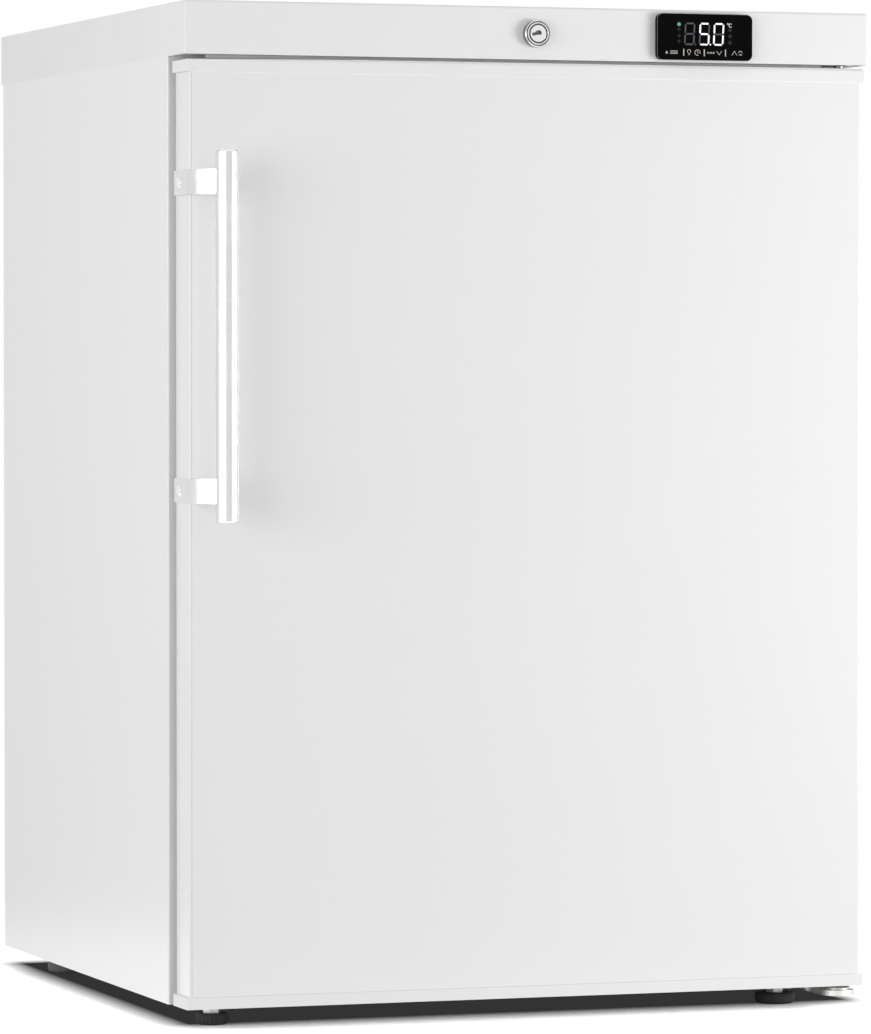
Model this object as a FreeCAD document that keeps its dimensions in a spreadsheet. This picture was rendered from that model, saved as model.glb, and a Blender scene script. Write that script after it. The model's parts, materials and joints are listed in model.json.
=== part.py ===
"""Undercounter medical refrigerator: foamed steel cabinet, hinged door, forced-air cooling.

X runs to the right, the door faces -Y, and Z is up from the floor. The origin lies on the
floor under the middle of the whole object. All sizes are in millimetres.
"""
import FreeCAD, Part
import Sketcher
import math
import os
from types import SimpleNamespace

# Driving sizes

SIZES = {
    # Cabinet and worktop
    "wide": 600, "top_deep": 578, "skirt_tall": 43.5, "top_wall": 3, "top_round": 2.5,
    "fascia_reach": 48.5, "cabinet_deep": 521.5, "cabinet_tall": 776, "underside": 21.5,
    "sheet": 1, "face_flange": 30, "rear_flange": 15, "fold_round": 1.2,
    "foam_side": 41, "foam_top": 44, "foam_floor": 48, "foam_back": 48.5, "foam_hump": 46.5,
    "liner_wall": 2, "cavity_round": 16, "bay_deep": 149.5, "bay_tall": 191,
    "fascia_floor": 2.5,
    # Door
    "door_side_gap": 2, "door_top_gap": 4.5, "door_thick": 39, "seal_gap": 7.5,
    "cap_tall": 9.5, "cap_wall": 2.5, "cap_lip": 3, "cap_front_lip": 1, "skin_round": 2,
    "skin_return": 12, "plug_deep": 20, "plug_gap": 16, "plug_round": 12,
    "seal_wide": 20, "seal_clear": 0.3, "seal_outset": 1,
    # Handle
    "bar_radius": 9.5, "bar_long": 300, "bar_standoff": 33, "bar_inset": 22,
    "bar_chamfer": 1, "strap_tall": 20, "strap_thick": 3.5, "strap_round": 38,
    "strap_back": 6, "strap_screw_cap": 1.4,
    "grip_pitch": 250, "grip_rise": 547, "grip_screw": 2.5,
    "plug_button": 4.5,
    # Hinges
    "hinge_inset": 18, "hinge_depth": 20, "pin_radius": 4, "pin_reach": 14,
    "bush_wall": 2.5, "run_fit": 0.05, "lug_radius": 14.5, "lug_thick": 4.5,
    "washer_radius": 11, "washer_gap": 0.4, "plate_thick": 5, "bracket_reach": 60,
    "screw_radius": 2.5, "screw_head": 4.8, "screw_cap": 2.6, "screw_long": 9,
    # Lock
    "lock_offset": 2, "lock_drop": 22.4, "lock_radius": 10.3, "lock_proud": 7.5,
    "barrel_radius": 9, "barrel_long": 20, "key_plug": 7, "cam_long": 34, "cam_wide": 14,
    "cam_thick": 3, "cam_play": 1.5, "lock_nut_across": 24, "lock_nut_tall": 4,
    # Controller
    "panel_wide": 84.5, "panel_tall": 38.3, "panel_thick": 6.4, "panel_offset": 150.2,
    "panel_drop": 22.7, "panel_round": 5, "panel_edge": 0.6, "housing_inset": 3, "housing_deep": 32,
    # Feet
    "foot_inset": 48.4, "foot_front": 37.5, "foot_rear": 35, "pad_radius": 17,
    "ribbed_pad_radius": 14, "pad_tall": 9.5, "boss_tall": 5, "stud_radius": 4,
    "stud_long": 29, "nut_across": 13, "nut_tall": 6.5,
    "insert_wall": 2.5, "insert_tall": 20, "pad_groove": 0.9,
    # Cavity fittings
    "ledge_wide": 12, "ledge_tall": 5, "shelf_gap": 8, "shelf_deep": 370,
    "shelf_front": 26, "shelf_rise": 22, "shelf_pitch": 150, "probe_tall": 14, "frame_wire": 2.5,
    "cross_wire": 1.6, "wire_pitch": 25,
    "duct_wide": 410, "duct_deep": 68, "duct_wall": 2, "duct_clear": 4, "duct_round": 6,
    "fan_radius": 50, "fan_height": 640, "grille_bar": 3, "grille_gap": 9,
    "light_wide": 220, "light_deep": 25, "light_tall": 9, "light_back": 42,
    "coil_wide": 370, "coil_deep": 44, "coil_tall": 110, "coil_low": 430,
    "fin": 1, "fin_pitch": 14, "coil_tube": 4,
    # Machine bay
    "tray_sheet": 1.5, "tray_flange": 14, "pot_wide": 180, "pot_deep": 118, "pot_tall": 140,
    "pot_offset": 150, "pot_lift": 16, "drip_tall": 18, "drip_wall": 2,
    "bay_coil_wide": 48, "bay_coil_deep": 112, "bay_coil_tall": 126, "bay_coil_place": 130,
    "blower": 120, "blower_deep": 25, "blower_radius": 52,
    "drier_radius": 9, "drier_long": 90, "line_radius": 3,
    "grille_slot": 5, "grille_pitch": 14, "spacer_deep": 24, "spacer_radius": 16,
    "inlet_wide": 31, "inlet_tall": 24, "drain_radius": 7,
}

doc = FreeCAD.newDocument("medical_refrigerator")
sheet = doc.addObject("Spreadsheet::Sheet", "dim")
for row, (alias, number) in enumerate(SIZES.items(), 1):
    sheet.set(f"A{row}", str(number))
    sheet.setAlias(f"A{row}", alias)
doc.recompute()


# Lengths worked out from the sheet

class Size:
    """A length as an expression over the sheet, with its value now."""

    def __init__(self, text, value):
        self.text = text
        self.value = value

    def __add__(self, other):
        other = size(other)
        return Size(f"({self.text} + {other.text})", self.value + other.value)

    def __sub__(self, other):
        other = size(other)
        return Size(f"({self.text} - {other.text})", self.value - other.value)

    def __mul__(self, other):
        other = size(other)
        return Size(f"({self.text} * {other.text})", self.value * other.value)

    def __truediv__(self, other):
        other = size(other)
        return Size(f"({self.text} / {other.text})", self.value / other.value)

    def __neg__(self):
        return self * -1

    def __radd__(self, other):
        return size(other) + self

    def __rsub__(self, other):
        return size(other) - self

    def __rmul__(self, other):
        return size(other) * self

    def root(self):
        return Size(f"sqrt({self.text})", math.sqrt(self.value))


def size(thing):
    """A plain number or a Size, as a Size."""
    if isinstance(thing, Size):
        return thing
    return Size(repr(float(thing)), float(thing))


d = SimpleNamespace(**{alias: Size(f"dim.{alias}", float(number)) for alias, number in SIZES.items()})


# Features

PIECES = []


def keep(solid, label):
    """Names a finished piece of the refrigerator and lists it for the files."""
    solid.Label = label
    PIECES.append(solid)
    return solid


def bind(thing, **values):
    for field, value in values.items():
        thing.setExpression(field, size(value).text)


def place(thing, x, y, z, turn=None):
    """Puts an object at a point, turned by a rotation where one is given."""
    if turn is not None:
        thing.Placement = FreeCAD.Placement(FreeCAD.Vector(0, 0, 0), turn)
    thing.setExpression("Placement.Base.x", size(x).text)
    thing.setExpression("Placement.Base.y", size(y).text)
    thing.setExpression("Placement.Base.z", size(z).text)


TURNS = {
    "Z": FreeCAD.Rotation(),
    "Y": FreeCAD.Rotation(FreeCAD.Vector(1, 0, 0), -90),
    "X": FreeCAD.Rotation(FreeCAD.Vector(0, 1, 0), 90),
    "-Z": FreeCAD.Rotation(FreeCAD.Vector(1, 0, 0), 180),
    "-Y": FreeCAD.Rotation(FreeCAD.Vector(1, 0, 0), 90),
    "-X": FreeCAD.Rotation(FreeCAD.Vector(0, 1, 0), -90),
}


def box(name, x, y, z):
    """A block from its low and high places along each axis."""
    block = doc.addObject("Part::Box", name)
    bind(block, Length=x[1] - x[0], Width=y[1] - y[0], Height=z[1] - z[0])
    place(block, x[0], y[0], z[0])
    return block


def rod(name, way, start, radius, length):
    """A cylinder from a start point along one of the axes."""
    cylinder = doc.addObject("Part::Cylinder", name)
    bind(cylinder, Radius=radius, Height=length)
    place(cylinder, *start, turn=TURNS[way])
    return cylinder


def fuse(name, *solids):
    joined = doc.addObject("Part::MultiFuse", name)
    joined.Shapes = list(solids)
    joined.Refine = True
    return joined


def cut(name, base, *tools):
    """A solid less one or more others."""
    result = doc.addObject("Part::Cut", name)
    result.Base = base
    result.Tool = tools[0] if len(tools) == 1 else fuse(name + "_tools", *tools)
    result.Refine = True
    return result


def group(name, solids):
    """Separate solids that share one piece's name."""
    together = doc.addObject("Part::Compound", name)
    together.Links = list(solids)
    return together


def new_body(name):
    return doc.addObject("PartDesign::Body", name)


def sketch_on(body, plane, offset=0, turn=0):
    """An empty sketch on one of the body's own planes, moved along its normal."""
    sketch = body.newObject("Sketcher::SketchObject", body.Name + "_sketch")
    origin = next(f for f in body.Origin.OriginFeatures if f.Role == plane)
    sketch.AttachmentSupport = [(origin, "")]
    sketch.MapMode = "FlatFace"
    rotation = FreeCAD.Rotation(FreeCAD.Vector(0, 0, 1), size(turn).value)
    sketch.AttachmentOffset = FreeCAD.Placement(FreeCAD.Vector(0, 0, 0), rotation)
    sketch.setExpression("AttachmentOffset.Base.z", size(offset).text)
    return sketch


def pin_down(sketch, geometry, point, x, y):
    """Ties one point of a sketch to its distances from the sketch's origin."""
    for kind, length in (("DistanceX", size(x)), ("DistanceY", size(y))):
        made = sketch.addConstraint(Sketcher.Constraint(kind, -1, 1, geometry, point, length.value))
        sketch.setExpression(f"Constraints[{made}]", length.text)


def draw_path(sketch, points):
    """A closed outline of straight lines."""
    first = sketch.GeometryCount
    count = len(points)
    corners = [FreeCAD.Vector(size(x).value, size(y).value, 0) for x, y in points]
    for i in range(count):
        sketch.addGeometry(Part.LineSegment(corners[i], corners[(i + 1) % count]), False)
    for i in range(count):
        following = first + (i + 1) % count
        sketch.addConstraint(Sketcher.Constraint("Coincident", first + i, 2, following, 1))
    for i, (x, y) in enumerate(points):
        pin_down(sketch, first + i, 1, x, y)


def draw_rectangle(sketch, x, y):
    draw_path(sketch, [(x[0], y[0]), (x[1], y[0]), (x[1], y[1]), (x[0], y[1])])


def draw_circle(sketch, x, y, radius):
    centre = FreeCAD.Vector(size(x).value, size(y).value, 0)
    circle = Part.Circle(centre, FreeCAD.Vector(0, 0, 1), size(radius).value)
    number = sketch.addGeometry(circle, False)
    pin_down(sketch, number, 3, x, y)
    made = sketch.addConstraint(Sketcher.Constraint("Radius", number, size(radius).value))
    sketch.setExpression(f"Constraints[{made}]", size(radius).text)


def draw_hexagon(sketch, across):
    """A hexagon about the origin from its size across the flats."""
    corner = size(across) / math.sqrt(3)
    angles = [math.radians(60 * i) for i in range(6)]
    draw_path(sketch, [(corner * math.cos(a), corner * math.sin(a)) for a in angles])


def pad(body, sketch, length):
    feature = body.newObject("PartDesign::Pad", body.Name + "_pad")
    feature.Profile = sketch
    bind(feature, Length=length)
    return feature


def pocket(body, sketch, length, backwards=False):
    """Cuts a sketch into the body, against its normal or, backwards, along it."""
    feature = body.newObject("PartDesign::Pocket", body.Name + "_pocket")
    feature.Profile = sketch
    feature.Reversed = backwards
    bind(feature, Length=length)
    return feature


def spin(body, sketch):
    """Turns a sketch of radii and heights about the body's own Z axis."""
    feature = body.newObject("PartDesign::Revolution", body.Name + "_spin")
    feature.Profile = sketch
    feature.ReferenceAxis = (sketch, ["V_Axis"])
    feature.Angle = 360
    return feature


def round_edges(body, radius, wanted, kind="PartDesign::Fillet"):
    """Rounds, or bevels, the edges of the body's last feature that a test picks out."""
    doc.recompute()
    base = body.Tip
    edges = [f"Edge{i}" for i, edge in enumerate(base.Shape.Edges, 1) if wanted(edge)]
    feature = body.newObject(kind, body.Name + "_edges")
    feature.Base = (base, edges)
    bind(feature, **{"Radius" if kind.endswith("Fillet") else "Size": radius})
    body.Tip = feature
    return feature


def repeat_round(body, feature, count, axis="Z_Axis"):
    pattern = body.newObject("PartDesign::PolarPattern", body.Name + "_ring")
    pattern.Originals = [feature]
    line = next(f for f in body.Origin.OriginFeatures if f.Role == axis)
    pattern.Axis = (line, [""])
    pattern.Angle = 360
    pattern.Occurrences = count
    body.Tip = pattern
    return pattern


def repeat_along(body, feature, axis, length, count):
    """Repeats a feature over a length along one of the body's own axes."""
    pattern = body.newObject("PartDesign::LinearPattern", body.Name + "_row")
    pattern.Originals = [feature]
    line = next(f for f in body.Origin.OriginFeatures if f.Role == axis)
    pattern.Direction = (line, [""])
    bind(pattern, Length=length)
    pattern.Occurrences = count
    body.Tip = pattern
    return pattern


def near(number, wanted):
    return abs(number - size(wanted).value) < 0.01


def runs_along(edge, axis):
    """True for a straight edge along an axis."""
    if not isinstance(edge.Curve, Part.Line):
        return False
    return abs(getattr(edge.Curve.Direction, axis)) > 0.999


def turned(name, points, x=0, y=0, z=0, way="Z"):
    """A turned piece from its radii and heights, stood on a point along an axis."""
    body = new_body(name)
    sketch = sketch_on(body, "XZ_Plane")
    draw_path(sketch, points)
    spin(body, sketch)
    place(body, x, y, z, turn=TURNS[way])
    return body


def bent_tube(name, points, radius, bend):
    """A round tube along straight runs joined by tangent arcs."""
    spots = [FreeCAD.Vector(*(size(c).value for c in point)) for point in points]
    edges = []
    start = spots[0]
    for before, corner, after in zip(spots, spots[1:], spots[2:]):
        back = (before - corner).normalize()
        ahead = (after - corner).normalize()
        half = back.getAngle(ahead) / 2
        reach = bend / math.tan(half)
        first = corner + back * reach
        last = corner + ahead * reach
        inward = (back + ahead).normalize()
        middle = corner + inward * (bend / math.sin(half) - bend)
        edges.append(Part.LineSegment(start, first).toShape())
        edges.append(Part.Arc(first, middle, last).toShape())
        start = last
    edges.append(Part.LineSegment(start, spots[-1]).toShape())
    ring = Part.Wire(Part.Circle(spots[0], spots[1] - spots[0], size(radius).value).toShape())
    tube = doc.addObject("Part::Feature", name)
    tube.Shape = Part.Wire(edges).makePipeShell([ring], True, True)
    return tube


# Places that the pieces share

half = d.wide / 2
handle_front = d.bar_standoff + d.bar_radius - d.cap_front_lip
door_step = d.fascia_reach - d.seal_gap - d.door_thick
overall_deep = handle_front - door_step + d.fascia_reach + d.cabinet_deep + d.spacer_deep
fascia = handle_front - door_step - overall_deep / 2
top_back = fascia + d.top_deep
front = fascia + d.fascia_reach
back = front + d.cabinet_deep
bottom = d.underside
roof = bottom + d.cabinet_tall
summit = roof + d.skirt_tall

bay_front = back - d.bay_deep
bay_roof = bottom + d.bay_tall

cavity_half = half - d.sheet - d.foam_side - d.liner_wall
cavity_floor = bottom + d.sheet + d.foam_floor + d.liner_wall
cavity_roof = roof - d.sheet - d.foam_top - d.liner_wall
cavity_back = back - d.sheet - d.foam_back - d.liner_wall
hump_front = bay_front - d.sheet - d.foam_hump - d.liner_wall
hump_roof = bay_roof + d.sheet + d.foam_hump + d.liner_wall

door_back = front - d.seal_gap
door_front = door_back - d.door_thick
door_low = bottom
door_high = roof - d.door_top_gap
door_half = half - d.door_side_gap
skin_half = door_half - d.cap_lip
skin_front = door_front + d.cap_front_lip
rim_half = skin_half - d.skin_return

hinge_x = half - d.hinge_inset
hinge_y = door_back - d.hinge_depth
bush_radius = d.pin_radius + d.run_fit + d.bush_wall

lock_x = d.lock_offset
lock_z = summit - d.lock_drop
cam_y = fascia + d.barrel_long + d.run_fit * 4
panel_x = d.panel_offset
panel_z = summit - d.panel_drop

bar_x = d.bar_inset - skin_half
bar_y = skin_front - d.bar_standoff
grip_z = door_low + d.grip_rise
grip_places = [grip_z + d.grip_pitch / 2, grip_z - d.grip_pitch / 2]
spare_places = [door_low + door_high - z for z in grip_places]
grip_y = door_front + d.door_thick / 2

foot_x = half - d.foot_inset
foot_places = {
    "front_left_foot": (-foot_x, front + d.foot_front),
    "front_right_foot": (foot_x, front + d.foot_front),
    "rear_left_foot": (-foot_x, back - d.foot_rear),
    "rear_right_foot": (foot_x, back - d.foot_rear),
}

duct_front = cavity_back - d.duct_deep
duct_low = hump_roof + d.duct_clear / 4
duct_high = cavity_roof - d.duct_clear
bay_middle = bay_front + d.bay_deep / 2
tray_top = bottom + d.tray_sheet
pot_x = -d.pot_offset
pot_low = tray_top + d.pot_lift
pot_high = pot_low + d.pot_tall


# Outer cabinet

def side_panel(label, side):
    """Painted steel side, folded round the front face and round the back."""
    body = new_body(label)
    outline = sketch_on(body, "XY_Plane", bottom)
    draw_path(outline, [
        (side * half, front),
        (side * half, back),
        (side * (half - d.rear_flange), back),
        (side * (half - d.rear_flange), back - d.sheet),
        (side * (half - d.sheet), back - d.sheet),
        (side * (half - d.sheet), front + d.sheet),
        (side * (half - d.face_flange), front + d.sheet),
        (side * (half - d.face_flange), front),
    ])
    pad(body, outline, d.cabinet_tall)
    round_edges(body, d.fold_round, lambda e: runs_along(e, "z")
                and near(abs(e.CenterOfMass.x), half)
                and (near(e.CenterOfMass.y, front) or near(e.CenterOfMass.y, back)))
    keep(body, label)


def screw_places_top():
    """Three screws that hold the upper hinge to the roof of the cabinet."""
    middle = hinge_x
    return [(middle, front + d.bracket_reach * share) for share in (0.22, 0.52, 0.82)]


def screw_places_bottom():
    """Two screws that hold the lower hinge under the floor of the cabinet."""
    left = hinge_x - d.lug_radius
    return [(left - offset, front + d.lug_radius * 0.9) for offset in (14, 30)]


def cabinet_top_panel():
    """Steel roof with a fold down over the front face."""
    body = new_body("roof_sheet")
    plate = sketch_on(body, "XY_Plane", roof - d.sheet)
    draw_rectangle(plate, (d.sheet - half, half - d.sheet), (front + d.sheet, back - d.sheet))
    pad(body, plate, d.sheet)
    fold = sketch_on(body, "XY_Plane", roof - d.face_flange)
    inner = half - d.face_flange
    draw_rectangle(fold, (-inner, inner), (front, front + d.sheet))
    pad(body, fold, d.face_flange)
    holes = [rod("roof_hole", "Z", (x, y, roof - d.screw_long), d.screw_radius, d.screw_long)
             for x, y in screw_places_top()]
    keep(cut("roof_drilled", body, *holes), "cabinet_top_panel")


def back_panel():
    """Steel back with two pressed stiffening ribs."""
    inner = half - d.rear_flange
    body = new_body("back_sheet")
    plate = sketch_on(body, "XZ_Plane", -back)
    draw_rectangle(plate, (-inner, inner), (bay_roof, roof))
    pad(body, plate, d.sheet)
    rib = sketch_on(body, "XZ_Plane", -back - d.sheet)
    rib_half = d.sheet * 6
    for side in (-1, 1):
        middle = side * inner / 2
        draw_rectangle(rib, (middle - rib_half, middle + rib_half),
                       (bay_roof + d.face_flange, roof - d.face_flange * 2))
    pad(body, rib, d.sheet)
    round_edges(body, d.sheet * 0.45, lambda e: near(e.CenterOfMass.y, back + d.sheet))
    keep(body, "back_panel")


def base_panel():
    """One folded sheet: front lip, floor, machine bay wall and machine bay roof."""
    body = new_body("floor_sheet")
    profile = sketch_on(body, "YZ_Plane", d.sheet - half)
    draw_path(profile, [
        (front + d.sheet, bottom),
        (bay_front, bottom),
        (bay_front, bay_roof),
        (back - d.sheet, bay_roof),
        (back - d.sheet, bay_roof + d.sheet),
        (bay_front - d.sheet, bay_roof + d.sheet),
        (bay_front - d.sheet, bottom + d.sheet),
        (front + d.sheet, bottom + d.sheet),
    ])
    pad(body, profile, d.wide - d.sheet * 2)
    fold = sketch_on(body, "XY_Plane", bottom)
    inner = half - d.face_flange
    draw_rectangle(fold, (-inner, inner), (front, front + d.sheet))
    pad(body, fold, d.face_flange)
    tools = foot_holes("floor_foot") + floor_screw_holes("floor_screw") + bay_holes("floor")
    keep(cut("floor_drilled", body, *tools), "base_panel")


def foot_holes(name):
    """Holes for the threaded inserts of the feet."""
    radius = d.stud_radius + d.run_fit + d.insert_wall
    return [rod(name, "Z", (x, y, bottom - d.sheet), radius, d.insert_tall + d.sheet)
            for x, y in foot_places.values()]


def floor_screw_holes(name):
    return [rod(name, "Z", (x, y, bottom - d.sheet), d.screw_radius, d.screw_long)
            for x, y in screw_places_bottom()]


def bay_holes(name):
    """Holes through the hump for the drain, the suction line and the capillary."""
    start = bay_roof - d.sheet
    length = hump_roof + d.liner_wall - start
    return [
        rod(name + "_drain", "Z", (pot_x, drain_y, start), d.drain_radius, length),
        rod(name + "_suction", "Z", (suction_x, bay_middle, start), d.line_radius, length),
        rod(name + "_capillary", "Z", (drier_x, capillary_y, start), d.line_radius / 2, length),
    ]


suction_x = d.line_radius * 20
drier_x = d.duct_wide / 2 - d.drier_radius * 2
capillary_y = bay_middle - d.drier_radius
drain_y = bay_middle - d.drain_radius / 2


# Insulation and liner

def cavity_block(name, grow, mouth):
    """The space inside the liner, grown by a wall, as a rounded block."""
    body = new_body(name)
    side = sketch_on(body, "YZ_Plane", -cavity_half - grow)
    draw_path(side, [
        (mouth, cavity_floor - grow),
        (hump_front + grow, cavity_floor - grow),
        (hump_front + grow, hump_roof - grow),
        (cavity_back + grow, hump_roof - grow),
        (cavity_back + grow, cavity_roof + grow),
        (mouth, cavity_roof + grow),
    ])
    pad(body, side, (cavity_half + grow) * 2)
    round_edges(body, d.cavity_round + grow,
                lambda e: not near(e.CenterOfMass.y, mouth)
                and not (near(e.CenterOfMass.y, hump_front + grow)
                         and near(e.CenterOfMass.z, hump_roof - grow)))
    return body


def face_frame(name, deep):
    """The block between the folds of the front face."""
    inner = half - d.face_flange
    return box(name, (-inner, inner), (front, front + deep),
               (bottom + d.face_flange, roof - d.face_flange))


def insulation():
    """Foam between the steel and the liner, open to the front."""
    block = box("foam_block", (d.sheet - half, half - d.sheet),
                (front + d.sheet, back - d.sheet), (bottom + d.sheet, roof - d.sheet))
    bay = box("foam_bay", (-half, half), (bay_front - d.sheet, back),
              (bottom, bay_roof + d.sheet))
    holes = [rod("foam_screw", "Z", (x, y, roof - d.screw_long), d.screw_radius, d.screw_long)
             for x, y in screw_places_top()]
    tools = [bay, cavity_block("foam_cavity", d.liner_wall, front),
             face_frame("foam_frame", d.liner_wall), *holes, *foot_holes("foam_foot"),
             *floor_screw_holes("foam_floor_screw"), *bay_holes("foam")]
    keep(cut("foam_shaped", block, *tools), "insulation")


def shelf_heights():
    """Undersides of the three shelves."""
    lowest = hump_roof + d.shelf_rise
    return [lowest + d.shelf_pitch * i for i in range(3)]


def inner_liner():
    """Formed plastic tub with a front flange and ledges for the shelves."""
    shell = fuse("liner_outside", cavity_block("liner_skin", d.liner_wall, front),
                 face_frame("liner_flange", d.liner_wall))
    hollow = cut("liner_hollow", shell,
                 cavity_block("liner_space", size(0), front - d.liner_wall))
    ledges = []
    shelf_y = front + d.shelf_front
    for top in shelf_heights():
        for side in (-1, 1):
            inner = side * (cavity_half - d.ledge_wide)
            outer = side * (cavity_half + d.liner_wall / 2)
            x = (inner, outer) if side > 0 else (outer, inner)
            ledges.append(box("ledge", x, (shelf_y, shelf_y + d.shelf_deep),
                              (top - d.ledge_tall, top)))
    tub = fuse("liner_ledged", hollow, *ledges)
    keep(cut("liner_drilled", tub, *bay_holes("liner")), "inner_liner")


# Worktop, fascia, controller and lock housing

def worktop():
    """Moulded lid whose deep front edge is the fascia over the door."""
    body = new_body("lid")
    outline = sketch_on(body, "XY_Plane", roof)
    draw_rectangle(outline, (-half, half), (fascia, top_back))
    pad(body, outline, d.skirt_tall)
    round_edges(body, d.top_round, lambda e: runs_along(e, "z") or near(e.CenterOfMass.z, summit))
    hollow = sketch_on(body, "XY_Plane", roof)
    draw_rectangle(hollow, (d.top_wall - half, half - d.top_wall),
                   (fascia + d.top_wall, top_back - d.top_wall))
    pocket(body, hollow, d.skirt_tall - d.top_wall, backwards=True)
    window = sketch_on(body, "XZ_Plane", -fascia)
    inset = d.housing_inset
    draw_rectangle(window, (panel_x - d.panel_wide / 2 + inset, panel_x + d.panel_wide / 2 - inset),
                   (panel_z - d.panel_tall / 2 + inset, panel_z + d.panel_tall / 2 - inset))
    draw_circle(window, lock_x, lock_z, d.barrel_radius)
    pocket(body, window, d.top_wall)
    keep(body, "worktop")


def lock_sweep(level):
    """How far the lock's cam reaches sideways at a level under its axis, with play."""
    fall = lock_z - level
    return (d.cam_long * d.cam_long - fall * fall).root() + d.cam_play * 2


def fascia_base():
    """Moulding that closes the underside of the fascia, slotted for the lock's cam."""
    high = roof + d.fascia_floor
    plate = box("fascia_plate", (d.top_wall - half, hinge_x - d.lug_radius - d.cam_play),
                (fascia + d.top_wall, front), (roof, high))
    slot = box("fascia_slot", (lock_x - d.cam_wide / 2 - d.cam_play, lock_x + lock_sweep(high)),
               (cam_y - d.cam_play, cam_y + d.cam_thick + d.cam_play), (roof, high))
    keep(cut("fascia_slotted", plate, slot), "fascia_base")


def controller_housing():
    """Box behind the touch panel, seated in the window of the fascia."""
    inset = d.housing_inset
    body = new_body("controller_box")
    outline = sketch_on(body, "XZ_Plane", -fascia)
    draw_rectangle(outline,
                   (panel_x - d.panel_wide / 2 + inset, panel_x + d.panel_wide / 2 - inset),
                   (panel_z - d.panel_tall / 2 + inset, panel_z + d.panel_tall / 2 - inset))
    block = pad(body, outline, d.housing_deep)
    block.Reversed = True
    round_edges(body, d.top_wall, lambda e: near(e.CenterOfMass.y, fascia + d.housing_deep))
    keep(body, "controller_housing")


def touch_panel():
    """Black glass with rounded corners, bonded to the front of the fascia."""
    body = new_body("glass")
    outline = sketch_on(body, "XZ_Plane", -fascia)
    draw_rectangle(outline, (panel_x - d.panel_wide / 2, panel_x + d.panel_wide / 2),
                   (panel_z - d.panel_tall / 2, panel_z + d.panel_tall / 2))
    pad(body, outline, d.panel_thick)
    round_edges(body, d.panel_round, lambda e: runs_along(e, "y"))
    round_edges(body, d.panel_edge, lambda e: near(e.CenterOfMass.y, fascia - d.panel_thick))
    keep(body, "touch_panel")


def lock_housing():
    """Chromed barrel with a flange, clamped in the fascia by its nut."""
    bore = d.key_plug + d.run_fit
    face = d.lock_proud * 0.12
    keep(turned("lock_barrel", [
        (bore, -d.lock_proud),
        (d.lock_radius - face * 2, -d.lock_proud),
        (d.lock_radius, -d.lock_proud + face * 2),
        (d.lock_radius, 0),
        (d.barrel_radius, 0),
        (d.barrel_radius, d.barrel_long),
        (bore, d.barrel_long),
    ], lock_x, fascia, lock_z, "Y"), "lock_housing")


def lock_nut():
    """Hexagon nut behind the fascia."""
    body = new_body("lock_hexagon")
    outline = sketch_on(body, "XY_Plane")
    draw_hexagon(outline, d.lock_nut_across)
    draw_circle(outline, 0, 0, d.barrel_radius)
    pad(body, outline, d.lock_nut_tall)
    place(body, lock_x, fascia + d.top_wall, lock_z, turn=TURNS["Y"])
    keep(body, "lock_nut")


def lock_plug():
    """Turning core with a keyway that lies level when the door is unlocked."""
    body = new_body("lock_core")
    profile = sketch_on(body, "XZ_Plane")
    face = d.key_plug / 14
    draw_path(profile, [
        (0, -d.lock_proud),
        (d.key_plug - face, -d.lock_proud),
        (d.key_plug, face - d.lock_proud),
        (d.key_plug, d.barrel_long),
        (0, d.barrel_long),
    ])
    spin(body, profile)
    keyway = sketch_on(body, "XY_Plane", -d.lock_proud)
    long, tall = d.key_plug * 0.6, d.key_plug * 0.17
    draw_rectangle(keyway, (-long, long), (-tall, tall))
    pocket(body, keyway, d.barrel_long * 0.6, backwards=True)
    place(body, lock_x, fascia, lock_z, turn=TURNS["Y"])
    keep(body, "lock_plug")


def lock_cam():
    """Flat cam behind the core, level at rest and turned down into the door to lock it."""
    body = new_body("cam_blade")
    outline = sketch_on(body, "XZ_Plane", -cam_y)
    wide = d.cam_wide / 2
    draw_rectangle(outline, (lock_x - wide, lock_x + d.cam_long), (lock_z - wide, lock_z + wide))
    blade = pad(body, outline, d.cam_thick)
    blade.Reversed = True
    round_edges(body, d.cam_wide * 0.35, lambda e: runs_along(e, "y"))
    washer = rod("cam_hub", "Y", (lock_x, fascia + d.barrel_long, lock_z), d.key_plug * 0.6,
                 cam_y - fascia - d.barrel_long + d.cam_thick * 2)
    keep(fuse("cam_whole", body, washer), "lock_cam")


# Hinges

def top_hinge_bracket():
    """Flat steel plate on the roof that holds the upper pin over the door."""
    body = new_body("upper_plate")
    outline = sketch_on(body, "XY_Plane", roof)
    draw_rectangle(outline, (hinge_x - d.lug_radius, hinge_x + d.lug_radius),
                   (hinge_y - d.lug_radius, front + d.bracket_reach))
    pad(body, outline, d.plate_thick)
    round_edges(body, d.lug_radius * 0.96, lambda e: runs_along(e, "z")
                and near(e.CenterOfMass.y, hinge_y - d.lug_radius))
    holes = [rod("upper_hole", "Z", (x, y, roof), d.screw_radius, d.plate_thick)
             for x, y in screw_places_top()]
    bore = rod("upper_bore", "Z", (hinge_x, hinge_y, roof), d.pin_radius, d.plate_thick)
    keep(cut("upper_drilled", body, bore, *holes), "top_hinge_bracket")


lug_low = bottom - d.lug_thick * 2


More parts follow.
